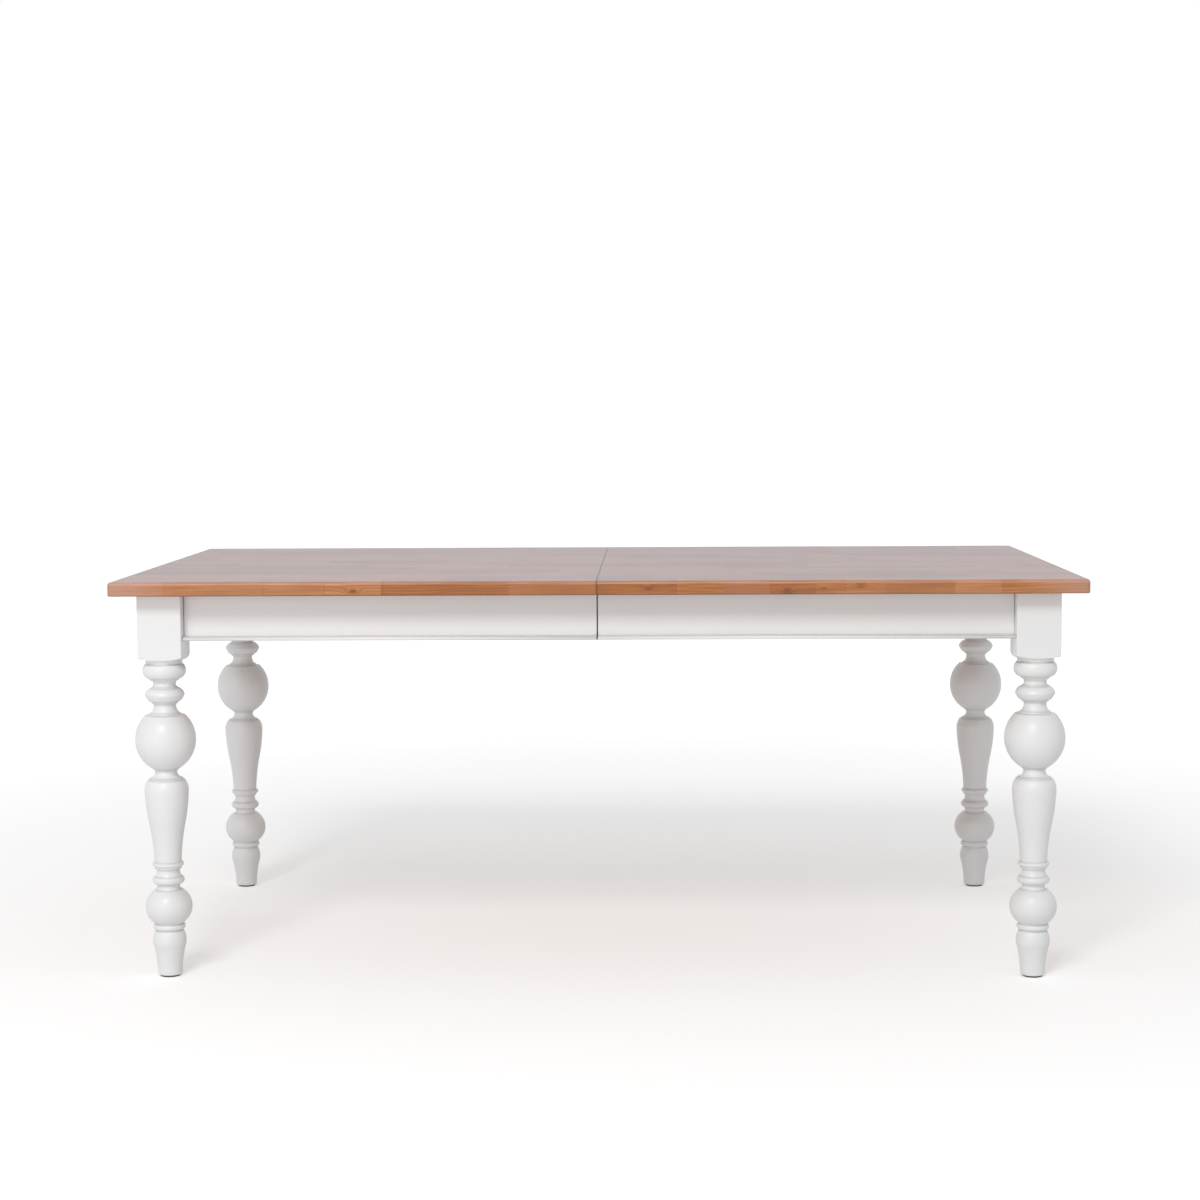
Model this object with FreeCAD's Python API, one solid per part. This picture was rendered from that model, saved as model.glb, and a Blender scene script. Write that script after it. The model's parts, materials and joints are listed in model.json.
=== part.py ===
import FreeCAD
import Part

import math
import os

from FreeCAD import Vector

# Extending dining table, closed, in millimetres.
# X runs along the table, Y from the front edge to the rear edge, Z up.
# The origin is on the floor, under the middle of the closed table.

# Whole table
table_length = 1800.0
table_depth = 1000.0
table_height = 752.0
leaf_length = 500.0          # what the loose leaf adds to the table
opening_slack = 20.0         # extra pull, so that the leaf drops in past its pins

# Top
top_thickness = 26.0
top_corner_radius = 8.0
top_upper_round = 5.0
top_lower_round = 2.0
seam_gap = 0.8
seam_arris = 0.7
end_overhang = 46.0
side_overhang = 40.0

# Legs
block_width = 82.0
block_height = 123.0
block_arris = 1.5
shoulder_start = 1.0         # how far outside the flats of the block its turned shoulder begins
shoulder_rise = 6.0
ball_radius = 56.6
foot_radius = 19.5
glide_radius = 18.5
glide_thickness = 3.0
glide_nail_radius = 2.0
glide_nail_length = 14.0

# Turned outline of a leg, from the foot up to the block. Each row is one stretch: a point that it
# bulges through, or None for a straight one, and the point where it ends. The first figure is a
# share of the turned height, the second a share of the radius of the great ball.
turning_shares = (
    ((0.002, 0.389), (0.007, 0.408)),  # rounded edge of the foot
    ((0.057, 0.452), (0.098, 0.548)),  # tapered foot
    ((0.120, 0.544), (0.138, 0.465)),  # shoulder of the foot
    (None, (0.147, 0.463)),
    ((0.154, 0.535), (0.161, 0.507)),  # ankle ring
    ((0.214, 0.777), (0.275, 0.413)),  # small ball
    ((0.283, 0.382), (0.292, 0.431)),
    ((0.302, 0.528), (0.312, 0.477)),  # flared bead
    ((0.323, 0.442), (0.329, 0.380)),
    (None, (0.338, 0.378)),
    (None, (0.346, 0.463)),
    ((0.352, 0.516), (0.358, 0.459)),  # thin ring
    (None, (0.363, 0.447)),
    ((0.418, 0.489), (0.475, 0.583)),  # hollow of the vase
    ((0.527, 0.677), (0.582, 0.724)),  # swell of the vase
    ((0.607, 0.684), (0.622, 0.590)),  # shoulder of the vase
    (None, (0.627, 0.564)),
    ((0.637, 0.484), (0.644, 0.399)),
    (None, (0.647, 0.399)),
    ((0.657, 0.493), (0.669, 0.645)),
    ((0.746, 1.000), (0.823, 0.664)),  # great ball
    (None, (0.829, 0.558)),
    (None, (0.831, 0.511)),
    ((0.840, 0.431), (0.851, 0.378)),
    (None, (0.854, 0.378)),
    (None, (0.866, 0.493)),
    (None, (0.868, 0.530)),
    ((0.880, 0.622), (0.888, 0.659)),  # pointed bead, lower side
    ((0.899, 0.604), (0.907, 0.495)),  # pointed bead, upper side
    ((0.912, 0.413), (0.919, 0.373)),
    ((0.926, 0.398), (0.931, 0.473)),
    (None, (0.935, 0.558)),
    ((0.961, 0.716), (0.982, 0.636)),  # torus
    (None, (0.984, 0.608)),
    (None, (1.000, 0.608)),  # collar under the block
)

# Aprons and the bead under them
apron_height = 80.0
apron_thickness = 22.0
apron_setback = 27.0         # from the face of the leg block to the face of the apron
frame_seam_gap = 2.7
bead_height = 7.0
bead_setback = 8.0           # from the face of the leg block to the nose of the bead
bead_round = 3.0

# Cross rails
rail_web = 14.5              # wood left under the notch for the slides
rail_thickness = 22.0
rail_setback = 90.0          # from the seam to the near face of the rail
rail_housing_depth = 6.0
rail_notch_gap = 1.5

# Corner blocks, hanger bolts and nuts
bolt_flat_depth = 8.0
corner_gap = 2.0
corner_block_thickness = 28.0
corner_block_drop = 10.0     # from the underside of the top to the block
bolt_radius = 4.0
bolt_hole_gap = 0.5
bolt_grip_in_leg = 45.0
bolt_tip_past_nut = 4.0
bolt_spacing = 28.0
nut_height = 7.0
nut_width = 13.0
nut_flange_radius = 9.0
nut_flange_thickness = 2.0

# Small screws, all alike
screw_radius = 2.0
screw_length = 16.0
screw_head_radius = 4.0
screw_head_height = 2.5
screw_gap = 0.05

# Angle brackets that hold the top
bracket_leg = 24.0
bracket_width = 20.0
bracket_thickness = 2.0
brackets_per_side = 3
brackets_per_end = 2
bracket_margin = 95.0        # from a leg block, or from the rail, to the nearest bracket
end_bracket_offset = 150.0

# Slides
slide_height = 46.0
slide_width = 24.0
middle_width = 20.0
slide_gap = 0.5
slide_relief = 1.0
slide_length = 900.0
slide_side_gap = 56.0        # from the side apron to the nearest slide
slide_end_wood = 17.0        # from the end of a rack to the end of the slide
middle_length = 900.0
tongue_height = 8.0
tongue_depth = 6.0
tongue_drop = 9.0            # from the top of the slide to the tongue
tongue_gap = 0.4
stop_slot_height = 6.6
stop_slot_depth = 5.0
stop_slot_drop = 21.0
stop_pin_offset = 200.0      # from the middle of the middle member to a stop pin
pin_radius = 3.0
stop_pin_grip = 9.0
stop_pin_gap = 0.3
slide_screw_radius = 2.5
slide_screw_grip = 16.0
slide_screw_head_radius = 5.0
slide_screw_head_height = 3.0
counterbore_depth = 22.0
counterbore_gap = 0.5
slide_screws = 4
slide_screw_margin = 60.0

# Racks and pinions
gear_module = 2.0
pinion_teeth = 18
pinion_height = 8.0
pinion_side_gap = 0.5
pressure_angle = math.radians(20.0)
tooth_backlash = 0.4
rack_height = 10.0
rack_back = 4.0
rack_lift = 4.0              # from the bottom of the slide to the rack
rack_margin = 23.0
axle_length = 30.0
running_gap = 0.05
flank_shares = (0.0, 0.35, 0.68, 1.0)

# Alignment pins in the seam
seam_pin_radius = 5.0
seam_pin_reach = 12.0
seam_pin_grip = 20.0
seam_pin_slack = 2.0
seam_pin_offset = 330.0
seam_pin_turns = (-1, 0, 1)

# Locks under the top
lock_offset = 150.0          # from the middle of the table to a lock
lock_pivot_setback = 45.0
lock_plate_length = 56.0
lock_plate_width = 40.0
lock_plate_thickness = 3.0
keeper_setback = 25.0
keeper_plate_length = 40.0
keeper_plate_width = 44.0
lock_stud_radius = 4.0
lock_collar_radius = 7.0
lock_collar_height = 6.0
lock_head_height = 3.0
lever_thickness = 5.0
lever_gap = 0.3
lever_arm_width = 14.0
lever_hub_radius = 11.0
lever_tail = 34.0
hook_wall = 6.0
keeper_stud_radius = 5.0
keeper_head_radius = 7.5
lever_open_angle = 75.0
hook_back_angle = 12.0
hook_slot_angle = 5.0
hook_mouth_angle = 9.0

# Leaf and its storage under the left half
leaf_side_gap = 16.0         # from the long edge of the stored leaf to a bearer
leaf_end_gap = 10.0
leaf_top_gap = 2.0           # from the stored leaf up to the cross rail
bearer_thickness = 16.0
ledge_thickness = 12.0
ledge_bearing = 14.0         # how far the ledge reaches under the leaf
ledge_setback = 28.0
button_width = 20.0
button_reach = 42.0
button_tail = 12.0
button_thickness = 10.0
button_gap = 0.3
button_screw_radius = 2.5
button_screw_grip = 22.0
button_screw_head_radius = 6.0
button_screw_head_height = 3.0
button_margin = 145.0        # from the ends of the bearer to a button

# What follows from these sizes
half_length = table_length / 2
half_depth = table_depth / 2
top_underside = table_height - top_thickness
block_bottom = top_underside - block_height
leg_x = half_length - end_overhang - block_width / 2
leg_y = half_depth - side_overhang - block_width / 2
block_inner_x = leg_x - block_width / 2
block_inner_y = leg_y - block_width / 2
block_face_x = leg_x + block_width / 2
block_face_y = leg_y + block_width / 2
turned_height = block_bottom - glide_thickness
apron_bottom = top_underside - apron_height
apron_face_x = block_face_x - apron_setback
apron_face_y = block_face_y - apron_setback
apron_inner_x = apron_face_x - apron_thickness
apron_inner_y = apron_face_y - apron_thickness
frame_seam_x = frame_seam_gap / 2
top_seam_x = seam_gap / 2
bead_bottom = apron_bottom - bead_height
rail_far_x = rail_setback + rail_thickness
travel = leaf_length + opening_slack
half_travel = travel / 2

slide_bottom = top_underside - slide_height
slide_reach = half_travel + rack_margin + slide_end_wood
rail_bottom = slide_bottom - rail_notch_gap - rail_web

# The corner blocks end level with the underside of the rails, so that the leaf passes under both
corner_block_top = top_underside - corner_block_drop
corner_block_bottom = rail_bottom

leaf_half = leaf_length / 2
leaf_bottom = rail_bottom - leaf_top_gap - top_thickness
leaf_low_x = -(apron_inner_x - leaf_end_gap)
leaf_mid_x = leaf_low_x + table_depth / 2
bearer_inner_y = leaf_half + leaf_side_gap
bearer_outer_y = bearer_inner_y + bearer_thickness

# Across a slide set, counted inwards from the side apron
slide_outer_face_y = apron_inner_y - slide_side_gap
outer_slide_y = slide_outer_face_y - slide_width
slide_centre_y = outer_slide_y - slide_gap - middle_width / 2
inner_slide_y = slide_centre_y - middle_width / 2 - slide_gap - slide_width
tongue_top = top_underside - tongue_drop
stop_slot_top = top_underside - stop_slot_drop
stop_slot_middle = stop_slot_top - stop_slot_height / 2
rack_bottom = slide_bottom + rack_lift
pinion_bottom = rack_bottom + (rack_height - pinion_height) / 2

pitch_radius = gear_module * pinion_teeth / 2
tooth_pitch = math.pi * gear_module
addendum = gear_module
dedendum = gear_module * 1.25
rack_tip_y = pitch_radius - addendum
rack_root_y = pitch_radius + dedendum
rack_back_y = rack_root_y + rack_back
rack_length = half_travel + rack_margin * 2

lever_radius = lock_pivot_setback + keeper_setback
lock_plate_bottom = top_underside - lock_plate_thickness
lever_top = lock_plate_bottom - lock_collar_height - lever_gap
lever_bottom = lever_top - lever_thickness

# Aids for the geometry
overrun = 2.0                # how far a cutting shape runs past what it cuts
touch = 0.01                 # places nearer to each other than this are one place


# Helpers for plain shapes
def box(x_low, x_high, y_low, y_high, z_low, z_high):
    corner = Vector(x_low, y_low, z_low)
    return Part.makeBox(x_high - x_low, y_high - y_low, z_high - z_low, corner)


def rod(start, direction, radius, length):
    return Part.makeCylinder(radius, length, start, direction)


def upright(x, y, z_low, z_high, radius):
    return rod(Vector(x, y, z_low), Vector(0, 0, 1), radius, z_high - z_low)


def prism(points, z_low, z_high):
    corners = [Vector(x, y, z_low) for x, y in points]
    outline = Part.makePolygon(corners + corners[:1])
    return Part.Face(outline).extrude(Vector(0, 0, z_high - z_low))


def at_rear(shape):
    return shape.mirror(Vector(0, 0, 0), Vector(0, 1, 0))


def at_right(shape):
    return shape.mirror(Vector(0, 0, 0), Vector(1, 0, 0))


def cut_all(shape, tools):
    for tool in tools:
        shape = shape.cut(tool)
    return shape


def edges_along(shape, test):
    return [edge for edge in shape.Edges if test(edge.BoundBox)]


def is_level(edge_box, z):
    return abs(edge_box.ZMin - z) < touch and abs(edge_box.ZMax - z) < touch


def spread(first, last, count):
    if count == 1:
        return [(first + last) / 2]
    return [first + (last - first) * i / (count - 1) for i in range(count)]


# Screws: each one has its head on a surface at start and its shank along direction
def make_screw(start, direction, radius, length, head_radius, head_height):
    head = rod(start - direction * head_height, direction, head_radius, head_height)
    return head.fuse(rod(start, direction, radius, length)).removeSplitter()


def small_screw(start, direction):
    return make_screw(start, direction, screw_radius, screw_length,
                      screw_head_radius, screw_head_height)


def small_screw_hole(start, direction):
    return rod(start, direction, screw_radius + screw_gap, screw_length + screw_gap)


# Turned legs, shown for the front left corner and mirrored to the others
def turned_shaft():
    def place(height_share, radius_share):
        height = glide_thickness + turned_height * height_share
        return Vector(ball_radius * radius_share, 0, height)

    axis_foot = Vector(0, 0, glide_thickness)
    here = Vector(foot_radius, 0, glide_thickness)
    edges = [Part.LineSegment(axis_foot, here).toShape()]
    for bulge, end in turning_shares:
        there = place(*end)
        if bulge is None:
            edges.append(Part.LineSegment(here, there).toShape())
        else:
            edges.append(Part.Arc(here, place(*bulge), there).toShape())
        here = there
    axis_top = Vector(0, 0, block_bottom)
    edges.append(Part.LineSegment(here, axis_top).toShape())
    edges.append(Part.LineSegment(axis_top, axis_foot).toShape())
    outline = Part.Face(Part.Wire(edges))
    return outline.revolve(Vector(0, 0, 0), Vector(0, 0, 1), 360)


def shouldered_block():
    half = block_width / 2
    block = box(-half, half, -half, half, block_bottom, top_underside)
    uprights = edges_along(block, lambda b: b.ZLength > half)
    block = block.makeFillet(block_arris, uprights)
    corner = half * math.sqrt(2)
    start = half + shoulder_start
    flat = Vector(start, 0, block_bottom)
    rise = Vector(corner, 0, block_bottom + shoulder_rise)
    bulge = Vector((start + corner * 2) / 3, 0, block_bottom + shoulder_rise / 2)
    low_axis = Vector(0, 0, block_bottom)
    high_axis = Vector(0, 0, top_underside)
    high_edge = Vector(corner, 0, top_underside)
    outline = [
        Part.LineSegment(low_axis, flat).toShape(),
        Part.Arc(flat, bulge, rise).toShape(),
        Part.LineSegment(rise, high_edge).toShape(),
        Part.LineSegment(high_edge, high_axis).toShape(),
        Part.LineSegment(high_axis, low_axis).toShape(),
    ]
    envelope = Part.Face(Part.Wire(outline)).revolve(Vector(0, 0, 0), Vector(0, 0, 1), 360)
    return block.common(envelope)


def front_left_leg():
    leg = shouldered_block().fuse(turned_shaft()).removeSplitter()
    leg.translate(Vector(-leg_x, -leg_y, 0))
    nail_top = glide_thickness + glide_nail_length
    leg = leg.cut(upright(-leg_x, -leg_y, 0, nail_top + screw_gap, glide_nail_radius + screw_gap))
    flat_leg = bolt_flat_depth * math.sqrt(2)
    corner_points = [
        (-block_inner_x, -block_inner_y),
        (-block_inner_x - flat_leg, -block_inner_y),
        (-block_inner_x, -block_inner_y - flat_leg),
    ]
    leg = leg.cut(prism(corner_points, corner_block_bottom - corner_gap, top_underside))
    return cut_all(leg, [bolt_shape(z, screw_gap) for z in bolt_heights()])


def front_left_glide():
    pad = upright(-leg_x, -leg_y, 0, glide_thickness, glide_radius)
    nail = upright(-leg_x, -leg_y, 0, glide_thickness + glide_nail_length, glide_nail_radius)
    return pad.fuse(nail).removeSplitter()


# Corner block with its two hanger bolts and flange nuts
def inward():
    return Vector(1, 1, 0).normalize()


def corner_point(depth, z):
    start = Vector(-block_inner_x, -block_inner_y, z)
    return start + inward() * depth


def bolt_heights():
    middle = (corner_block_bottom + corner_block_top) / 2
    return [middle - bolt_spacing / 2, middle + bolt_spacing / 2]


def block_near_depth():
    return corner_gap - bolt_flat_depth


def nut_seat_depth():
    return block_near_depth() + corner_block_thickness


def bolt_shape(z, gap):
    start_depth = -bolt_flat_depth - bolt_grip_in_leg - gap
    end_depth = nut_seat_depth() + nut_height + bolt_tip_past_nut
    return rod(corner_point(start_depth, z), inward(), bolt_radius + gap, end_depth - start_depth)


def front_left_corner_block():
    near = block_near_depth() * math.sqrt(2)
    far = nut_seat_depth() * math.sqrt(2)
    step_y = apron_inner_y - block_inner_y
    step_x = apron_inner_x - block_inner_x
    points = [
        (-block_inner_x + near + step_y, -apron_inner_y),
        (-block_inner_x + far + step_y, -apron_inner_y),
        (-apron_inner_x, -block_inner_y + far + step_x),
        (-apron_inner_x, -block_inner_y + near + step_x),
    ]
    block = prism(points, corner_block_bottom, corner_block_top)
    return cut_all(block, [bolt_shape(z, bolt_hole_gap) for z in bolt_heights()])


def front_left_nut(z):
    seat = corner_point(nut_seat_depth(), z)
    flange = rod(seat, inward(), nut_flange_radius, nut_flange_thickness)
    across_corners = nut_width / math.sqrt(3)
    corners = []
    for i in range(6):
        angle = math.radians(60 * i)
        corners.append((across_corners * math.cos(angle), across_corners * math.sin(angle)))
    hexagon = prism(corners, 0, nut_height)
    turn = FreeCAD.Rotation(Vector(0, 0, 1), inward())
    hexagon.Placement = FreeCAD.Placement(seat, turn)
    return flange.fuse(hexagon).removeSplitter().cut(bolt_shape(z, screw_gap))


# Aprons, beads and cross rail
def rail_housing():
    return box(-rail_far_x, -rail_setback, -apron_inner_y - rail_housing_depth,
               apron_inner_y + rail_housing_depth, rail_bottom, top_underside)


def front_left_apron():
    apron = box(-block_inner_x, -frame_seam_x, -apron_face_y, -apron_inner_y,
                apron_bottom, top_underside)
    holes = [apron_screw_hole(place) for place in side_bracket_places()]
    return cut_all(apron, [rail_housing()] + holes)


def left_end_apron():
    apron = box(-apron_face_x, -apron_inner_x, -block_inner_y, block_inner_y,
                apron_bottom, top_underside)
    return cut_all(apron, [apron_screw_hole(place) for place in end_bracket_places()])


def front_left_bead():
    nose = block_face_y - bead_setback
    bead = box(-block_inner_x, -frame_seam_x, -nose, -apron_inner_y, bead_bottom, apron_bottom)
    nose_edges = edges_along(bead, lambda b: b.YMax < -nose + bead_round and b.XLength > bead_round)
    return bead.makeFillet(bead_round, nose_edges)


def left_end_bead():
    nose = block_face_x - bead_setback
    bead = box(-nose, -apron_inner_x, -block_inner_y, block_inner_y, bead_bottom, apron_bottom)
    nose_edges = edges_along(bead, lambda b: b.XMax < -nose + bead_round and b.YLength > bead_round)
    return bead.makeFillet(bead_round, nose_edges)


def left_cross_rail():
    low = inner_slide_y - rail_notch_gap
    high = slide_outer_face_y + rail_notch_gap
    notch = box(-rail_far_x - overrun, -rail_setback + overrun, low, high,
                slide_bottom - rail_notch_gap, top_underside + overrun)
    return cut_all(rail_housing(), [notch, at_rear(notch)])


# Angle brackets: a place is a point on the corner of apron and top, and the way into the frame
def side_bracket_places():
    first = -block_inner_x + bracket_margin
    last = -rail_far_x - bracket_margin
    return [(Vector(x, -apron_inner_y, top_underside), Vector(0, 1, 0))
            for x in spread(first, last, brackets_per_side)]


def end_bracket_places():
    places = spread(-end_bracket_offset, end_bracket_offset, brackets_per_end)
    return [(Vector(-apron_inner_x, y, top_underside), Vector(1, 0, 0)) for y in places]


def left_bracket_places():
    return side_bracket_places() + end_bracket_places()


def bracket_apron_screw(place):
    corner, into = place
    drop = (bracket_leg + bracket_thickness) / 2
    return corner + into * bracket_thickness - Vector(0, 0, drop), into * -1


def bracket_top_screw(place):
    corner, into = place
    reach = (bracket_leg + bracket_thickness) / 2
    return corner + into * reach - Vector(0, 0, bracket_thickness), Vector(0, 0, 1)


def apron_screw_hole(place):
    return small_screw_hole(*bracket_apron_screw(place))


def angle_bracket(place):
    corner, into = place
    half = bracket_width / 2
    wall = box(0, bracket_thickness, -half, half, -bracket_leg, 0)
    shelf = box(0, bracket_leg, -half, half, -bracket_thickness, 0)
    bracket = wall.fuse(shelf).removeSplitter()
    bracket.Placement = FreeCAD.Placement(corner, FreeCAD.Rotation(Vector(1, 0, 0), into))
    holes = [small_screw_hole(*bracket_apron_screw(place)),
             small_screw_hole(*bracket_top_screw(place))]
    return cut_all(bracket, holes)


def bracket_screws(place):
    return [small_screw(*bracket_apron_screw(place)), small_screw(*bracket_top_screw(place))]


# Slides, shown for the front set
def slide_screw_places(y):
    first = -(slide_length - slide_reach) + slide_screw_margin
    return [Vector(x, y, slide_bottom + counterbore_depth)
            for x in spread(first, -slide_screw_margin, slide_screws)]


def slide_screw_length():
    return slide_height - counterbore_depth + slide_screw_grip


def slide_screw(start):
    return make_screw(start, Vector(0, 0, 1), slide_screw_radius, slide_screw_length(),
                      slide_screw_head_radius, slide_screw_head_height)


def slide_screw_hole(start):
    return rod(start, Vector(0, 0, 1), slide_screw_radius + screw_gap,
               slide_screw_length() + screw_gap)


def slide_counterbore(start):
    return rod(start - Vector(0, 0, counterbore_depth), Vector(0, 0, 1),
               slide_screw_head_radius + counterbore_gap, counterbore_depth)


# One outer member: face_y is its face towards the middle member, and out points away from it
def outer_member(face_y, out):
    def band(depth_low, depth_high):
        return sorted([face_y + out * depth_low, face_y + out * depth_high])

    low, high = band(0, slide_width)
    start = -(slide_length - slide_reach)
    member = box(start, slide_reach, low, high, slide_bottom, top_underside)
    relief = box(-top_seam_x, slide_reach + overrun, low - overrun, high + overrun,
                 top_underside - slide_relief, top_underside + overrun)
    low, high = band(-overrun, tongue_depth + tongue_gap)
    groove = box(start - overrun, slide_reach + overrun, low, high,
                 tongue_top - tongue_height - tongue_gap, tongue_top + tongue_gap)
    low, high = band(-overrun, stop_slot_depth)
    slot_end = pin_radius + stop_pin_gap
    slot = box(-stop_pin_offset - slot_end, -stop_pin_offset + half_travel + slot_end,
               low, high, stop_slot_top - stop_slot_height, stop_slot_top)
    low, high = band(-overrun, rack_back_y - middle_width / 2 - slide_gap)
    rack_groove = box(-rack_margin, rack_length - rack_margin, low, high,
                      rack_bottom, rack_bottom + rack_height)
    member = cut_all(member, [relief, groove, slot, rack_groove])
    screws = slide_screw_places(face_y + out * slide_width / 2)
    for start_point in screws:
        member = cut_all(member, [slide_screw_hole(start_point), slide_counterbore(start_point)])
    return member


def front_left_slide():
    return outer_member(-outer_slide_y, -1)


# The right member is the inner one, so it is made on the left and mirrored
def front_right_slide():
    return at_right(outer_member(-(inner_slide_y + slide_width), 1))


def rack(out):
    tooth_half = tooth_pitch / 4 - tooth_backlash / 4
    tip_half = tooth_half - addendum * math.tan(pressure_angle)
    root_half = tooth_half + dedendum * math.tan(pressure_angle)
    first = math.ceil((-rack_margin + root_half) / tooth_pitch - 1 / 2)
    last = math.floor((rack_length - rack_margin - root_half) / tooth_pitch - 1 / 2)
    tip = -slide_centre_y + out * rack_tip_y
    root = -slide_centre_y + out * rack_root_y
    back = -slide_centre_y + out * rack_back_y
    points = [(-rack_margin, back), (-rack_margin, root)]
    for i in range(first, last + 1):
        centre = tooth_pitch * (i + 1 / 2)
        points += [(centre - root_half, root), (centre - tip_half, tip),
                   (centre + tip_half, tip), (centre + root_half, root)]
    points += [(rack_length - rack_margin, root), (rack_length - rack_margin, back)]
    return prism(points, rack_bottom, rack_bottom + rack_height)


def front_left_rack():
    return rack(-1)


def front_right_rack():
    return at_right(rack(1))


def front_middle_slide():
    half = middle_length / 2
    high = top_underside - slide_relief
    low_y = -slide_centre_y - middle_width / 2
    high_y = -slide_centre_y + middle_width / 2
    member = box(-half, half, low_y, high_y, slide_bottom, high)
    reach = slide_gap + tongue_depth
    tongue = box(-half, half, low_y - reach, high_y + reach,
                 tongue_top - tongue_height, tongue_top)
    member = member.fuse(tongue).removeSplitter()
    pocket_half = pitch_radius + addendum + pinion_side_gap * 2
    pocket = box(-pocket_half, pocket_half, low_y - overrun, high_y + overrun,
                 pinion_bottom - pinion_side_gap, pinion_bottom + pinion_height + pinion_side_gap)
    return cut_all(member, [pocket] + front_slide_pins(screw_gap))


# Steel pins of the middle member: the axle of the pinion and two stop pins
def front_slide_pins(gap):
    axle = upright(0, -slide_centre_y, slide_bottom - gap, slide_bottom + axle_length + gap,
                   pin_radius + gap)
    reach = middle_width / 2 + stop_slot_depth - stop_pin_gap
    pins = [axle]
    for side in (-1, 1):
        tip = Vector(side * stop_pin_offset, -slide_centre_y + side * reach, stop_slot_middle)
        length = stop_slot_depth - stop_pin_gap + stop_pin_grip
        pins.append(rod(tip, Vector(0, -side, 0), pin_radius + gap, length + gap))
    return pins


def involute_angle(radius, base_radius):
    if radius <= base_radius:
        return 0
    roll = math.sqrt((radius / base_radius) ** 2 - 1)
    return roll - math.atan(roll)


def front_pinion():
    base_radius = pitch_radius * math.cos(pressure_angle)
    tip_radius = pitch_radius + addendum
    root_radius = pitch_radius - dedendum
    half_tooth = (tooth_pitch / 4 - tooth_backlash / 4) / pitch_radius
    half_base = half_tooth + involute_angle(pitch_radius, base_radius)
    flank = [(root_radius, half_base)]
    for share in flank_shares:
        radius = base_radius + (tip_radius - base_radius) * share
        flank.append((radius, half_base - involute_angle(radius, base_radius)))
    points = []
    for i in range(pinion_teeth):
        centre = 2 * math.pi * i / pinion_teeth + math.pi / 2
        tooth = [(radius, centre - angle) for radius, angle in flank]
        tooth += [(radius, centre + angle) for radius, angle in reversed(flank)]
        points += [(radius * math.cos(turn), radius * math.sin(turn)) for radius, turn in tooth]
    pinion = prism(points, pinion_bottom, pinion_bottom + pinion_height)
    pinion = pinion.cut(upright(0, 0, 0, top_underside, pin_radius + running_gap))
    pinion.translate(Vector(0, -slide_centre_y, 0))
    return pinion


# Tops
# Rounds every outer edge of a half top, and leaves the edge at the seam
def rounded_board(board, seam_x):
    def is_seam(b):
        return abs(b.XMin - seam_x) < touch and abs(b.XMax - seam_x) < touch

    corners = edges_along(board, lambda b: b.ZLength > top_thickness / 2 and not is_seam(b))
    board = board.makeFillet(top_corner_radius, corners)
    upper = edges_along(board, lambda b: is_level(b, table_height) and not is_seam(b))
    board = board.makeFillet(top_upper_round, upper)
    lower = edges_along(board, lambda b: is_level(b, top_underside) and not is_seam(b))
    return board.makeFillet(top_lower_round, lower)


def left_top_board():
    board = box(-half_length, -top_seam_x, -half_depth, half_depth, top_underside, table_height)
    board = rounded_board(board, -top_seam_x)
    seam_edges = edges_along(board, lambda b: b.XMin > -top_seam_x - touch
                             and b.YLength > half_depth)
    return board.makeChamfer(seam_arris, seam_edges)


def seam_pin(y, slack, radius_gap):
    start = Vector(top_seam_x + seam_pin_grip + slack, y, table_height - top_thickness / 2)
    length = seam_pin_grip + seam_pin_reach + seam_gap + slack * 2
    return rod(start, Vector(-1, 0, 0), seam_pin_radius + radius_gap, length)


def seam_pin_rows():
    return [seam_pin_offset * turn for turn in seam_pin_turns]


def both_sides(shapes):
    return shapes + [at_rear(shape) for shape in shapes]


def left_top_screw_holes():
    side = [small_screw_hole(*bracket_top_screw(place)) for place in side_bracket_places()]
    end = [small_screw_hole(*bracket_top_screw(place)) for place in end_bracket_places()]
    return both_sides(side) + end


def left_top():
    pins = [seam_pin(y, seam_pin_slack, running_gap) for y in seam_pin_rows()]
    slide_y = -(outer_slide_y + slide_width / 2)
    slide_holes = [slide_screw_hole(start) for start in slide_screw_places(slide_y)]
    lock_holes = [small_screw_hole(*place) for place in lock_screw_places()]
    holes = pins + left_top_screw_holes() + both_sides(slide_holes + lock_holes)
    return cut_all(left_top_board(), holes)


def right_top():
    pins = [seam_pin(y, 0, screw_gap) for y in seam_pin_rows()]
    slide_y = -(inner_slide_y + slide_width / 2)
    slide_holes = [at_right(slide_screw_hole(start)) for start in slide_screw_places(slide_y)]
    keeper_holes = [small_screw_hole(*place) for place in keeper_screw_places()]
    holes = pins + [at_right(hole) for hole in left_top_screw_holes()]
    holes += both_sides(slide_holes + keeper_holes)
    return cut_all(at_right(left_top_board()), holes)


# Swivel locks, shown for the one at the front
def lock_screw_places():
    x_places = [-lock_pivot_setback - lock_plate_length / 2 + screw_head_radius * 2,
                -lock_pivot_setback + lock_plate_length / 2 - screw_head_radius * 2]
    y = -lock_offset - lock_plate_width / 2 + screw_head_radius * 2
    return [(Vector(x, y, lock_plate_bottom), Vector(0, 0, 1)) for x in x_places]


def keeper_screw_places():
    edge = keeper_plate_width / 2 - screw_head_radius * 2
    return [(Vector(keeper_setback, -lock_offset + side * edge, lock_plate_bottom),
             Vector(0, 0, 1)) for side in (-1, 1)]


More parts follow.
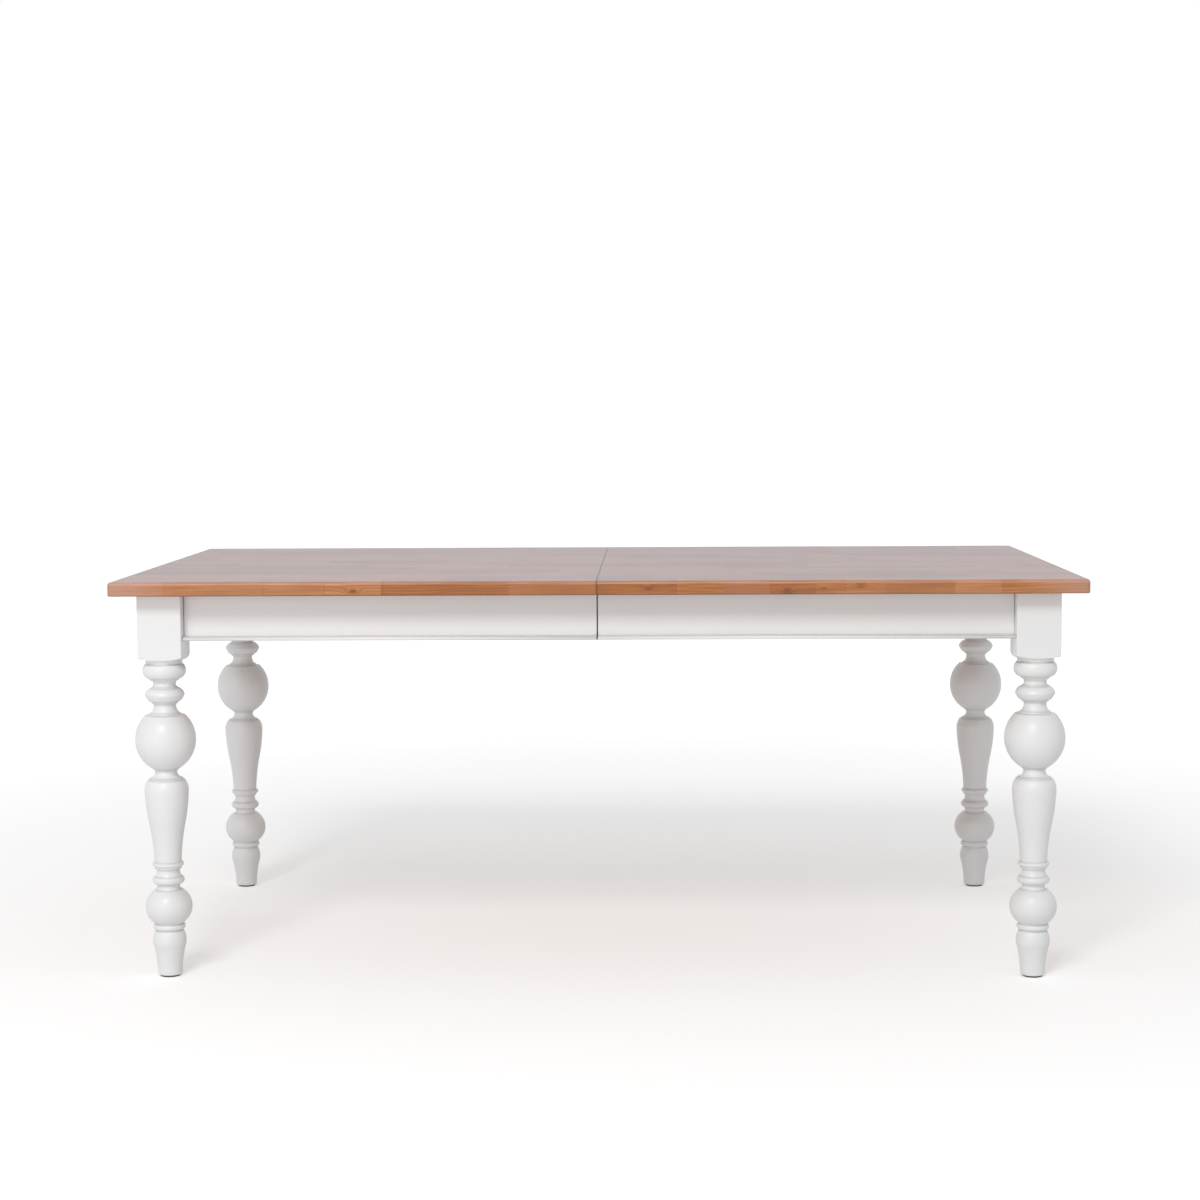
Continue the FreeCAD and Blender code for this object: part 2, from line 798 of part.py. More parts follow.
def front_lock_base():
    x = -lock_pivot_setback
    y = -lock_offset
    base = box(x - lock_plate_length / 2, x + lock_plate_length / 2,
               y - lock_plate_width / 2, y + lock_plate_width / 2,
               lock_plate_bottom, top_underside)
    collar = upright(x, y, lever_top + lever_gap, lock_plate_bottom, lock_collar_radius)
    stud_bottom = lever_bottom - lever_gap - lock_head_height
    stud = upright(x, y, stud_bottom, lock_plate_bottom, lock_stud_radius)
    head = upright(x, y, stud_bottom, stud_bottom + lock_head_height, lock_collar_radius)
    base = base.fuse([collar, stud, head]).removeSplitter()
    return cut_all(base, [small_screw_hole(*place) for place in lock_screw_places()])


def front_keeper():
    x = keeper_setback
    y = -lock_offset
    plate = box(x - keeper_plate_length / 2, x + keeper_plate_length / 2,
                y - keeper_plate_width / 2, y + keeper_plate_width / 2,
                lock_plate_bottom, top_underside)
    head_bottom = lever_bottom - lock_head_height * 2
    stud = upright(x, y, head_bottom, lock_plate_bottom, keeper_stud_radius)
    head = upright(x, y, head_bottom, head_bottom + lock_head_height, keeper_head_radius)
    keeper = plate.fuse([stud, head]).removeSplitter()
    return cut_all(keeper, [small_screw_hole(*place) for place in keeper_screw_places()])


def ring_sector(inner, outer, low_angle, high_angle, z_low, z_high):
    def at(radius, angle):
        turn = math.radians(angle)
        return Vector(radius * math.cos(turn), radius * math.sin(turn), z_low)

    middle = (low_angle + high_angle) / 2
    edges = [
        Part.LineSegment(at(inner, low_angle), at(outer, low_angle)).toShape(),
        Part.Arc(at(outer, low_angle), at(outer, middle), at(outer, high_angle)).toShape(),
        Part.LineSegment(at(outer, high_angle), at(inner, high_angle)).toShape(),
        Part.Arc(at(inner, high_angle), at(inner, middle), at(inner, low_angle)).toShape(),
    ]
    return Part.Face(Part.Wire(edges)).extrude(Vector(0, 0, z_high - z_low))


# The lever is drawn closed, along +X from its pivot, and then turned open. Its hook is a curved
# slot about the pivot, open towards the side that meets the keeper's stud first.
def front_lock_lever():
    slot_half = keeper_stud_radius + lever_gap
    hook_inner = lever_radius - slot_half - hook_wall
    hook_outer = lever_radius + slot_half + hook_wall
    arm_half = lever_arm_width / 2
    hub = upright(0, 0, lever_bottom, lever_top, lever_hub_radius)
    arm = box(0, hook_inner + hook_wall / 2, -arm_half, arm_half, lever_bottom, lever_top)
    tail = box(-lever_tail + arm_half, 0, -arm_half, arm_half, lever_bottom, lever_top)
    tail_end = upright(-lever_tail + arm_half, 0, lever_bottom, lever_top, arm_half)
    hook = ring_sector(hook_inner, hook_outer, -hook_mouth_angle, hook_back_angle,
                       lever_bottom, lever_top)
    slot = ring_sector(lever_radius - slot_half, lever_radius + slot_half,
                       -hook_mouth_angle * 2, hook_slot_angle,
                       lever_bottom - overrun, lever_top + overrun)
    lever = hub.fuse([arm, tail, tail_end, hook]).removeSplitter().cut(slot)
    lever = lever.cut(upright(0, 0, 0, top_underside, lock_stud_radius + running_gap))
    lever.rotate(Vector(0, 0, 0), Vector(0, 0, 1), lever_open_angle)
    lever.translate(Vector(-lock_pivot_setback, -lock_offset, 0))
    return lever


# Leaf, stored under the left half with its long edges along the table
def extension_leaf():
    leaf_top = leaf_bottom + top_thickness
    leaf = box(leaf_low_x, leaf_low_x + table_depth, -leaf_half, leaf_half, leaf_bottom, leaf_top)
    upper = edges_along(leaf, lambda b: is_level(b, leaf_top) and b.XLength < touch)
    leaf = leaf.makeFillet(top_upper_round, upper)
    lower = edges_along(leaf, lambda b: is_level(b, leaf_bottom) and b.XLength < touch)
    leaf = leaf.makeFillet(top_lower_round, lower)
    sockets = [leaf_pin(x, -1, seam_pin_slack, running_gap) for x in leaf_pin_rows()]
    pins = [leaf_pin(x, 1, 0, screw_gap) for x in leaf_pin_rows()]
    return cut_all(leaf, sockets + pins)


def leaf_pin_rows():
    return [leaf_mid_x + seam_pin_offset * turn for turn in seam_pin_turns]


def leaf_pin(x, side, slack, radius_gap):
    depth = seam_pin_grip if side > 0 else seam_pin_reach
    z = leaf_bottom + top_thickness / 2
    start = Vector(x, -side * (leaf_half - depth - slack), z)
    length = seam_pin_grip + seam_pin_reach + slack
    return rod(start, Vector(0, -side, 0), seam_pin_radius + radius_gap, length)


def leaf_pins():
    return [leaf_pin(x, 1, 0, 0) for x in leaf_pin_rows()]


def button_places():
    low = -apron_inner_x + button_margin
    high = -rail_far_x - button_margin
    return [low, high]


def button_screw(x, gap):
    head_seat = leaf_bottom - button_gap * 2 - button_thickness
    start = Vector(x, -(bearer_inner_y + bearer_thickness / 2), head_seat)
    length = button_gap * 2 + button_thickness + button_screw_grip
    if gap:
        return rod(start, Vector(0, 0, 1), button_screw_radius + gap, length + gap)
    return make_screw(start, Vector(0, 0, 1), button_screw_radius, length,
                      button_screw_head_radius, button_screw_head_height)


# A bearer runs from the end apron to the cross rail and hangs from the underside of the rail
def rear_leaf_bearer():
    return box(-apron_inner_x, -rail_setback, bearer_inner_y, bearer_outer_y,
               leaf_bottom, rail_bottom)


def front_leaf_bearer():
    holes = [button_screw(x, screw_gap) for x in button_places()]
    return cut_all(at_rear(rear_leaf_bearer()), holes)


def rear_leaf_ledge():
    return box(-apron_inner_x + ledge_setback, -rail_far_x - ledge_setback,
               leaf_half - ledge_bearing, bearer_outer_y,
               leaf_bottom - ledge_thickness, leaf_bottom)


def leaf_button(x):
    half = button_width / 2
    pivot_y = -(bearer_inner_y + bearer_thickness / 2)
    high = leaf_bottom - button_gap
    low = high - button_thickness
    bar = box(x - half, x + half, pivot_y, pivot_y + button_reach - half, low, high)
    tip = upright(x, pivot_y + button_reach - half, low, high, half)
    tail = upright(x, pivot_y, low, high, button_tail)
    button = bar.fuse([tip, tail]).removeSplitter()
    return button.cut(upright(x, pivot_y, 0, top_underside, button_screw_radius + running_gap))


# Saving: one file per node, and one solid or a group of solids in each
def save(name, *shapes):
    shape = shapes[0] if len(shapes) == 1 else Part.makeCompound(list(shapes))
    solids = shape.Solids
    for solid in solids:
        if not solid.isValid():
            print("not valid:", name)
    if len(solids) == 1:
        shape = solids[0]
    shape.exportStep("parts/" + name + ".step")
    volume = sum(solid.Volume for solid in solids)
    print(name, len(solids), "solids", round(volume / 1000), "cm3")


def save_in_corners(name, shape):
    save("front_left_" + name, shape)
    save("rear_left_" + name, at_rear(shape))
    save("front_right_" + name, at_right(shape))
    save("rear_right_" + name, at_right(at_rear(shape)))


def save_in_halves(name, *shapes):
    save("left_" + name, *shapes)
    save("right_" + name, *[at_right(shape) for shape in shapes])


def save_front_and_rear(name, *shapes):
    save("front_" + name, *shapes)
    save("rear_" + name, *[at_rear(shape) for shape in shapes])


def save_frame():
    save_in_corners("leg", front_left_leg())
    save_in_corners("apron", front_left_apron())
    save_in_corners("bead", front_left_bead())
    save_in_halves("end_apron", left_end_apron())
    save_in_halves("end_bead", left_end_bead())
    save_in_halves("cross_rail", left_cross_rail())
    save_in_halves("foot_glides", *both_sides([front_left_glide()]))
    save_in_halves("corner_blocks", *both_sides([front_left_corner_block()]))
    bolts = [bolt_shape(z, 0) for z in bolt_heights()]
    nuts = [front_left_nut(z) for z in bolt_heights()]
    save_in_halves("corner_bolts", *both_sides(bolts))
    save_in_halves("corner_nuts", *both_sides(nuts))


def save_top():
    save("left_top", left_top())
    save("right_top", right_top())
    save("seam_pins", *[seam_pin(y, 0, 0) for y in seam_pin_rows()])
    side = [angle_bracket(place) for place in side_bracket_places()]
    end = [angle_bracket(place) for place in end_bracket_places()]
    save_in_halves("top_brackets", *(both_sides(side) + end))
    side = []
    for place in side_bracket_places():
        side += bracket_screws(place)
    end = []
    for place in end_bracket_places():
        end += bracket_screws(place)
    bracket_set = both_sides(side) + end
    lock_set = both_sides([small_screw(*place) for place in lock_screw_places()])
    keeper_set = both_sides([small_screw(*place) for place in keeper_screw_places()])
    save("left_small_screws", *(bracket_set + lock_set))
    save("right_small_screws", *([at_right(screw) for screw in bracket_set] + keeper_set))


def save_slides():
    save_front_and_rear("left_slide", front_left_slide())
    save_front_and_rear("right_slide", front_right_slide())
    save_front_and_rear("middle_slide", front_middle_slide())
    save_front_and_rear("slide_pins", *front_slide_pins(0))
    save_front_and_rear("pinion", front_pinion())
    save("left_racks", *both_sides([front_left_rack()]))
    save("right_racks", *both_sides([front_right_rack()]))
    outer = [slide_screw(start) for start in slide_screw_places(-(outer_slide_y + slide_width / 2))]
    inner = [slide_screw(start) for start in slide_screw_places(-(inner_slide_y + slide_width / 2))]
    save("left_slide_screws", *both_sides(outer))
    save("right_slide_screws", *[at_right(screw) for screw in both_sides(inner)])


def save_locks():
    save("lock_bases", *both_sides([front_lock_base()]))
    save("lock_keepers", *both_sides([front_keeper()]))
    save_front_and_rear("lock_lever", front_lock_lever())


def save_leaf():
    save("extension_leaf", extension_leaf())
    save("leaf_pins", *leaf_pins())
    save("front_leaf_bearer", front_leaf_bearer())
    save("rear_leaf_bearer", rear_leaf_bearer())
    save("rear_leaf_ledge", rear_leaf_ledge())
    end_place, seam_place = button_places()
    save("end_leaf_button", leaf_button(end_place))
    save("seam_leaf_button", leaf_button(seam_place))
    save("leaf_button_screws", *[button_screw(x, 0) for x in button_places()])


os.makedirs("parts", exist_ok=True)
save_frame()
save_top()
save_slides()
save_locks()
save_leaf()
print("travel", travel, "pitch radius", pitch_radius, "slide centre", slide_centre_y)
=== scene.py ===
# %% [markdown]
# # An extending dining table
#
# A dining table in two halves. The top is glued up from short staves of warm brown hardwood under
# a satin lacquer. The legs and the frame are painted white. A seam crosses the top and the frame,
# and the halves pull apart on wooden slides to take a leaf that is stored underneath.
#
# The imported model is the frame: it fixes the place and the size of every piece. The pieces that
# the eye rests on are made again here with softer edges and finer turning, and the others keep
# their solid and get a finish. All lengths are in metres, with X along the table, Y from front to
# rear and Z up.

import json
import math

import bmesh
import bpy
from bmesh.types import BMEdge, BMFace, BMVert
from mathutils import Matrix, Vector

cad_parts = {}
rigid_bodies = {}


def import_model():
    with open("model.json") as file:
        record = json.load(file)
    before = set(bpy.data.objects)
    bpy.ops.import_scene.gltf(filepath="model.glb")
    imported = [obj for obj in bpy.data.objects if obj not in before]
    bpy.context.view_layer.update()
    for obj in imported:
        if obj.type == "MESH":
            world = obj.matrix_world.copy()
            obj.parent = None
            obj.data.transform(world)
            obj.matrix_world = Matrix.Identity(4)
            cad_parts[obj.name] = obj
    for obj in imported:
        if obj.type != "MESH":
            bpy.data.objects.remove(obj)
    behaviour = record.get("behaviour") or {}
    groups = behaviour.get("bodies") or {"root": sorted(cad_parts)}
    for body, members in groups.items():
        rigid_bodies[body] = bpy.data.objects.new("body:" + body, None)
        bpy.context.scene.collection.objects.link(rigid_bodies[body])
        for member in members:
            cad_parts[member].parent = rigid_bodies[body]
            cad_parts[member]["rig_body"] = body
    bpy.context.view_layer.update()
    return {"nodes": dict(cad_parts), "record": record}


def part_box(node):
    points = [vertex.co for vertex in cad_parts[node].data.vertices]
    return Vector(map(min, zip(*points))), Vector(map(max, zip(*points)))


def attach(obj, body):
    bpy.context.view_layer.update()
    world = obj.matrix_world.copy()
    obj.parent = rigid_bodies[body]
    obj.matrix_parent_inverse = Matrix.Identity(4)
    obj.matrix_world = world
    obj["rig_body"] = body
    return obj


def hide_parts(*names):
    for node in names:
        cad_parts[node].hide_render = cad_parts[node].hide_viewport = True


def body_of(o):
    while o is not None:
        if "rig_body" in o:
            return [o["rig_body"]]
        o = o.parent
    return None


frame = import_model()

# %% [markdown]
# ## Sizes
#
# These are the sizes that the solids were made from. A piece made here reads its place from the
# solid that it stands for, so that only the roundings and the turned outline are repeated.

# %% Sizes of the table
mm = 0.001
tolerance = 0.01 * mm        # points closer than this are at one place
weld = 0.001 * mm            # and points of a solid closer than this are one point
top_low, top_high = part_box("left_top")
leg_low, leg_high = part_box("front_left_leg")
half_length = -top_low.x
half_depth = top_high.y
table_height = top_high.z
top_underside = top_low.z
top_middle = (table_height + top_underside) / 2
leg_x = -(leg_low.x + leg_high.x) / 2
leg_y = -(leg_low.y + leg_high.y) / 2
foot_height = leg_low.z
block_bottom = 603.0 * mm
turned_height = block_bottom - foot_height
print("top", half_length * 2, "x", half_depth * 2, "at", table_height, "legs at", leg_x, leg_y)

# %% [markdown]
# ## Shader maths
#
# A finish is a tree of nodes. Long sums are hard to read as nodes, so one small class wraps an
# output and gives it the operators of a plain number, and one method adds any other node. The
# figures in a noise are waves per metre. Those in a sum are weights, tuned against the
# photograph.

# %% A reading
class Reading:
    """A value that varies over a surface, with the maths of a plain number."""

    def __init__(self, finish, socket):
        self.finish = finish
        self.socket = socket

    def math(self, operation, first, second):
        return self.finish.math(operation, first, second)

    def __add__(self, other):
        return self.math("ADD", self, other)

    def __sub__(self, other):
        return self.math("SUBTRACT", self, other)

    def __rsub__(self, other):
        return self.math("SUBTRACT", other, self)

    def __mul__(self, other):
        return self.math("MULTIPLY", self, other)

    def __truediv__(self, other):
        return self.math("DIVIDE", self, other)

    def __pow__(self, other):
        return self.math("POWER", self, other)

    __radd__ = __add__
    __rmul__ = __mul__


# %% A finish that is built from readings
class Finish:
    """A material whose nodes are added one by one in front of its shader."""

    def __init__(self, name, **constants):
        self.material = bpy.data.materials.new(name)
        self.material.use_nodes = True
        self.nodes = self.material.node_tree.nodes
        self.links = self.material.node_tree.links
        self.nodes.clear()
        self.shader = self.nodes.new("ShaderNodeBsdfPrincipled")
        output = self.nodes.new("ShaderNodeOutputMaterial")
        self.links.new(self.shader.outputs[0], output.inputs[0])
        for socket, value in constants.items():
            self.shader.inputs[socket.replace("_", " ")].default_value = value

    def add(self, kind, settings, inputs, output=0):
        """Adds a node: its settings first, then the values or the links of its sockets."""
        node = self.nodes.new(kind)
        for name, value in settings.items():
            if name == "stops":
                self.set_stops(node.color_ramp, value)
            elif name == "interpolation":
                node.color_ramp.interpolation = value
            else:
                setattr(node, name, value)
        self.join(node, inputs)
        return Reading(self, node.outputs[output])

    def join(self, node, inputs):
        for name, value in inputs.items():
            if isinstance(value, Reading):
                self.links.new(value.socket, node.inputs[name])
            else:
                node.inputs[name].default_value = value

    def set_stops(self, ramp, stops):
        while len(ramp.elements) < len(stops):
            ramp.elements.new(1.0)
        for element, (position, colour) in zip(ramp.elements, stops):
            element.position = position
            element.color = (*colour, 1.0)

    def one(self, operation, value):
        return self.add("ShaderNodeMath", {"operation": operation}, {0: value})

    def math(self, operation, first, second):
        return self.add("ShaderNodeMath", {"operation": operation}, {0: first, 1: second})

    def split(self, kind, whole):
        """The three parts of a vector or of a colour."""
        node = self.nodes.new(kind)
        self.join(node, {0: whole})
        return [Reading(self, node.outputs[part]) for part in range(3)]

    def place(self):
        """The X, Y and Z of a point of the piece, in metres."""
        return self.split("ShaderNodeSeparateXYZ", self.add("ShaderNodeTexCoord", {}, {}, "Object"))

    def channels(self, colour):
        return self.split("ShaderNodeSeparateColor", colour)

    def vector(self, x, y, z):
        return self.add("ShaderNodeCombineXYZ", {}, {0: x, 1: y, 2: z})

    def waves(self, place, counts):
        """A place counted in waves, given how many there are to the metre along each axis."""
        return self.vector(*(reading * count for reading, count in zip(place, counts)))

    def noise(self, place, counts=(1.0, 1.0, 1.0), detail=2.0, output="Fac"):
        inputs = {"Vector": self.waves(place, counts), "Scale": 1.0, "Detail": detail}
        return self.add("ShaderNodeTexNoise", {}, inputs, output)

    def rings(self, turns):
        """Light and dark by turns: 1 and 0, once each for every full turn."""
        return 0.5 + 0.5 * self.one("SINE", turns)

    def bell(self, squared_distance):
        """1 at a place, and fading to 0 round it."""
        return self.one("EXPONENT", squared_distance * -1.0)

    def blend(self, share, first, second):
        return self.add("ShaderNodeMix", {"data_type": "RGBA"}, {0: share, 6: first, 7: second}, 2)

    def bump(self, height, distance, strength):
        inputs = {"Height": height, "Distance": distance, "Strength": strength}
        self.join(self.shader, {"Normal": self.add("ShaderNodeBump", {}, inputs)})

    def feed(self, **sockets):
        self.join(self.shader, {name.replace("_", " "): value for name, value in sockets.items()})
        print("finish", self.material.name, "has", len(self.nodes), "nodes")
        return self.material


def rgb(red, green, blue):
    return (red, green, blue, 1.0)


# %% [markdown]
# ## The wood of the top
#
# The top is solid wood, so its pattern is a solid one too: growth rings about a heart that runs
# along each stave, a little outside it. On the face they make long streaks, and on the ends of
# the table the same rings show as arcs. Rows of staves lie side by side across the table. In each
# row the staves are butted end to end at odd lengths, and every stave draws its own tone and its
# own heart.

# %% Staves
row_count = 16
edge_margin = 1.0 * mm
row_width = (half_depth * 2 + edge_margin * 2) / row_count
stave_length = 0.31
ring_width = 3.4 * mm
stave_draw = 17.3            # how far the random draw of a row shifts its staves
stave_unevenness = 0.14      # how much a stave is longer or shorter than the next, as a share
front_draw = 97.0            # how far apart the draws of two staves of the front row lie
ramp_steps = 255             # a colour ramp is stored at this many steps

# A maker sorts staves by eye into a few tones
pale, light, even, brown, dark = 0.76, 0.62, 0.52, 0.42, 0.32
# Staves of the front row, which show at the front edge: where each one starts, and its tone
front_staves = (
    (-0.900, light), (-0.795, light), (-0.614, light), (-0.495, pale), (-0.392, dark),
    (-0.158, brown), (0.001, dark), (0.142, light), (0.229, dark), (0.311, brown), (0.398, even),
    (0.455, light), (0.529, brown), (0.655, pale), (0.735, light),
)
# Knots near the front edge: along, across, above the middle of the board, and radius
knots = (
    (-0.446, -0.499, -0.006, 0.007), (0.349, -0.499, -0.008, 0.007), (0.482, -0.498, 0.003, 0.008),
    (-0.676, -0.493, 0.012, 0.004), (0.210, -0.470, 0.013, 0.012), (0.095, -0.499, -0.001, 0.006),
    (0.415, -0.499, -0.002, 0.004),
)
knot_stretch = 2.2


# %% Where a point lies among the staves
def stave_cells(wood, along, row):
    """Which stave of a row a point is in, and how far it is along that stave."""
    draw = wood.add("ShaderNodeTexWhiteNoise", {"noise_dimensions": "1D"}, {"W": row + 0.5})
    run = along / stave_length + draw * stave_draw
    run = run + stave_unevenness * wood.one("SINE", run * 3.7 + draw * 9.0)
    cell = wood.one("FLOOR", run)
    return cell, run - cell


def front_row(wood, along):
    """The tone and the start of a stave of the front row, and how far a point is from its start."""
    stops = []
    for start, tone in front_staves:
        step = round((start + half_length) / (2 * half_length) * ramp_steps)
        stops.append((max(step - 0.5, 0) / ramp_steps, (tone, step / ramp_steps, 0.0)))
    share = (along + half_length) / (2 * half_length)
    settings = {"interpolation": "CONSTANT", "stops": stops}
    tone, start = wood.channels(wood.add("ShaderNodeValToRGB", settings, {0: share}))[:2]
    return tone, start, (share - start) * (2 * half_length)


def knot_pull(wood, along, across, up):
    """How near a point is to a knot: 1 at its heart, and 0 well away from it."""
    return sum(
        wood.bell(((along - x) / (radius * knot_stretch)) ** 2.0
                  + ((across - y) / radius) ** 2.0 + ((up - z) / radius) ** 2.0)
        for x, y, z, radius in knots
    )


# %% Bands along the edges
edge_band = 5.6 * mm
band_blur = 0.4 * mm
leaf_low, leaf_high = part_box("extension_leaf")
leaf_half_length = leaf_high.y


def ramp_up(finish, value, low, high, first=0.0, last=1.0, curve="LINEAR"):
    """A first value up to a low level and a last one from a high level, with a ramp between."""
    settings = {"interpolation_type": curve}
    inputs = {0: value, 1: low, 2: high, 3: first, 4: last}
    return finish.add("ShaderNodeMapRange", settings, inputs)


def beyond(finish, value, level, softness):
    """0 below a level and 1 above it, with a soft step between."""
    return ramp_up(finish, value, level - softness, level + softness, curve="SMOOTHSTEP")


def rounded_band(wood, from_middle, half):
    """1 within the rounded bands at two opposite edges of a board, and 0 between them."""
    return beyond(wood, wood.one("ABSOLUTE", from_middle), half - edge_band, band_blur)


# %% [markdown]
# Each stave has three random draws: its tone, and the place of its heart to the side and below.
# The rings are counted from that heart, and a slow noise bends them. Fibres and pores are noise
# that is stretched along the grain. The glue lines come from the edges of the rows and of the
# staves.

# %% Rings, fibres and glue lines
heart_spread = 90.0 * mm     # how widely the hearts are drawn to the sides of their staves
heart_below = 22.0 * mm      # how far every heart lies below the middle of its board
heart_depth = 70.0 * mm      # and how much deeper it can be drawn
side_bend = 34.0 * mm        # how far the slow noise bends the rings to the side
upward_bend = 30.0 * mm      # and up and down


def growth_rings(wood, point, row, cell, side, depth, pull):
    """The rings about the heart of a stave, the streaks in them, and a slow drift of tone."""
    along, across, up = point
    sway = wood.noise((along * 2.3, across * 9.0 + cell * 3.1, up * 9.0), output="Color")
    sway_side, sway_up, drift = wood.channels(sway)
    heart = (row + 0.5) * row_width - half_depth + (side - 0.5) * heart_spread
    from_side = across - heart + (sway_side - 0.5) * side_bend
    from_up = up + heart_below + depth * heart_depth + (sway_up - 0.5) * upward_bend
    radius = wood.one("SQRT", from_side * from_side + from_up * from_up)
    ripple = wood.noise(point, (14.0, 110.0, 110.0))
    streak = wood.noise(point, (9.0, 170.0, 170.0))
    turns = radius * (2 * math.pi / ring_width) + ripple * 3.0 + pull * 15.0
    return wood.rings(turns), streak, drift


def fibres(wood, point):
    """The fibres, and the short dark pores between them."""
    fibre = wood.noise(point, (7.0, 420.0, 420.0), detail=3.0)
    pores = wood.noise(point, (55.0, 1500.0, 1500.0), detail=1.0)
    return fibre, ramp_up(wood, pores, 0.60, 0.72)


def glue_lines(wood, across, row, within):
    """A hair-thin line round each stave."""
    in_row = (across + half_depth + edge_margin) / row_width - row
    glue = ramp_up(wood, wood.one("ABSOLUTE", in_row - 0.5), 0.492, 0.499)
    butt = ramp_up(wood, wood.one("ABSOLUTE", within - 0.5), 0.4985, 0.4996)
    return wood.math("MAXIMUM", glue, butt)


# %% [markdown]
# The upper rounding is painted paler, as a painted highlight with some wear, and the lower rounding
# under it is painted darker, as painted shade. The edges grow paler towards the ends of the table.
# At the seam the faces meet in a dark line of painted shade, and the end faces behind it show
# lighter when the table is open.

# %% Painted highlight and painted shade at the edges and at the seam, and paler ends
wood_highlight_and_wear = rgb(0.740, 0.420, 0.290)
wood_painted_shade = rgb(0.080, 0.036, 0.020)
wood_pale = rgb(0.620, 0.430, 0.400)
board_half = (table_height - top_underside) / 2
pale_end = 70.0 * mm
dark_foot = 1.6 * mm
seam_shade_line = 1.1 * mm
top_seam_half = 0.1 * mm
end_skin = 0.04 * mm         # how deep an end face is taken to be
end_blur = 0.02 * mm


def edge_highlight_and_shade(wood, colour, rim, up, streak):
    # The upper rounding is painted paler: a painted highlight, with some wear
    upper = beyond(wood, up, board_half - edge_band, 0.35 * mm)
    # The lower rounding is painted darker: painted shade under the edge
    lower = beyond(wood, up * -1.0, board_half - dark_foot, 0.5 * mm)
    colour = wood.blend(rim * upper * (0.34 + (streak - 0.5) * 0.6), colour, wood_highlight_and_wear)
    return wood.blend(rim * lower * 0.55, colour, wood_painted_shade)


def seam_shade_and_pale_ends(wood, colour, rim, along, up):
    from_seam = wood.one("ABSOLUTE", along)
    # At the seam the top is painted dark, less on the end faces: painted shade of the gap
    seam_shade = 1 - beyond(wood, from_seam, seam_shade_line, 0.3 * mm)
    on_end = 1 - beyond(wood, from_seam, top_seam_half + end_skin, end_blur)
    on_face = beyond(wood, up, board_half - seam_shade_line, 0.5 * mm)
    colour = wood.blend(seam_shade * (0.40 + on_face * 0.45 - on_end * 0.20), colour, wood_painted_shade)
    # The edges are paler towards the two ends of the table
    near_table_ends = beyond(wood, from_seam, half_length - pale_end, pale_end)
    return wood.blend(rim * near_table_ends * 0.30, colour, wood_pale)


# %% The wood
wood_dark = (0.200, 0.066, 0.022)
wood_brown = (0.360, 0.120, 0.030)
wood_orange = (0.500, 0.198, 0.062)
wood_light = (0.650, 0.335, 0.180)
wood_pink = rgb(0.560, 0.270, 0.170)
wood_stops = ((0.0, wood_dark), (0.33, wood_brown), (0.66, wood_orange), (1.0, wood_light))
wood_shine = {"Sheen_Weight": 0.76, "Sheen_Roughness": 0.25, "Sheen_Tint": rgb(0.76, 0.86, 1.00),
              "Specular_IOR_Level": 0.35}


def stave_wood(name, grain_along_y, middle_height, has_front_row):
    wood = Finish(name, **wood_shine)
    x, y, z = wood.place()
    along, across = (y, x) if grain_along_y else (x, y)
    up = z - middle_height
    point = (along, across, up)
    row = wood.one("FLOOR", (across + half_depth + edge_margin) / row_width)
    cell, within = stave_cells(wood, along, row)
    pull = eye = 0.0
    tone_range = 0.60
    if has_front_row:
        is_front = wood.math("LESS_THAN", row, 0.5)
        front_tone, front_start, from_start = front_row(wood, along)
        cell = cell * (1 - is_front) + front_start * front_draw * is_front
        within = within * (1 - is_front) + 0.5 * is_front
        pull = knot_pull(wood, along, across, up)
        eye = beyond(wood, pull, 0.72, 0.20)
        tone_range = 0.46 + is_front * 0.20
    seed = {"Vector": wood.vector(row, cell, 0.0)}
    tone, side, depth = wood.channels(wood.add("ShaderNodeTexWhiteNoise", {}, seed, "Color"))
    if has_front_row:
        tone = tone * (1 - is_front) + front_tone * is_front

    rings, streak, drift = growth_rings(wood, point, row, cell, side, depth, pull)
    fibre, pore = fibres(wood, point)
    line = glue_lines(wood, across, row, within)
    if has_front_row:
        front_butt = 1 - beyond(wood, from_start, 1.0 * mm, 0.3 * mm)
        line = wood.math("MAXIMUM", line, front_butt * is_front * 0.6)

    shade = 0.46 + (tone - 0.5) * tone_range + (rings - 0.5) * (0.17 + pull * 0.30)
    shade = shade + (fibre - 0.5) * 0.55 + (drift - 0.5) * 0.30 + (streak - 0.5) * 0.62
    shade = shade - pore * 0.16 - pull * 0.14 - eye * 0.26 - line * 0.22
    colour = wood.add("ShaderNodeValToRGB", {"stops": wood_stops}, {0: shade})
    colour = wood.blend(depth * 0.30, colour, wood_pink)
    rim = rounded_band(wood, along, half_length if has_front_row else leaf_half_length)
    if has_front_row:
        rim = wood.math("MAXIMUM", rounded_band(wood, across, half_depth), rim)
    colour = edge_highlight_and_shade(wood, colour, rim, up, streak)
    if has_front_row:
        colour = seam_shade_and_pale_ends(wood, colour, rim, along, up)
    smudge = wood.noise(point, (5.0, 5.0, 5.0))
    rough = 0.33 + (smudge - 0.5) * 0.12 + pore * 0.10 + line * 0.10
    wood.bump(fibre * 0.5 - pore * 0.8 - line * 1.2 + rings * 0.25, 0.00012, 0.5)
    return wood.feed(Base_Color=colour, Roughness=rough)


top_wood = stave_wood("staved_top_wood", False, top_middle, True)
leaf_middle = (leaf_low + leaf_high) / 2
leaf_wood = stave_wood("staved_leaf_wood", True, leaf_middle.z, False)

# %% [markdown]
# ## White paint
#
# Satin paint over hardwood. It is nearly even, yet not flat: the brush or the spray gun leaves
# soft waves, the white drifts a little between warm and cool, and the gloss varies with it. On a
# turned leg the waves run round the leg, and on a rail they run along it. The rails were sawn
# through at the seam after they had been painted, so their sawn ends show bare wood when the
# table is open.

# %% Painted shade in the grooves of the legs, and painted shadow in the joints
# A dark colour for painted shade in the grooves of the turned legs
painted_groove_shade = rgb(0.480, 0.460, 0.440)
# A dark colour for painted shade in the joints and at the seam of the frame
painted_joint_shade = rgb(0.040, 0.033, 0.030)
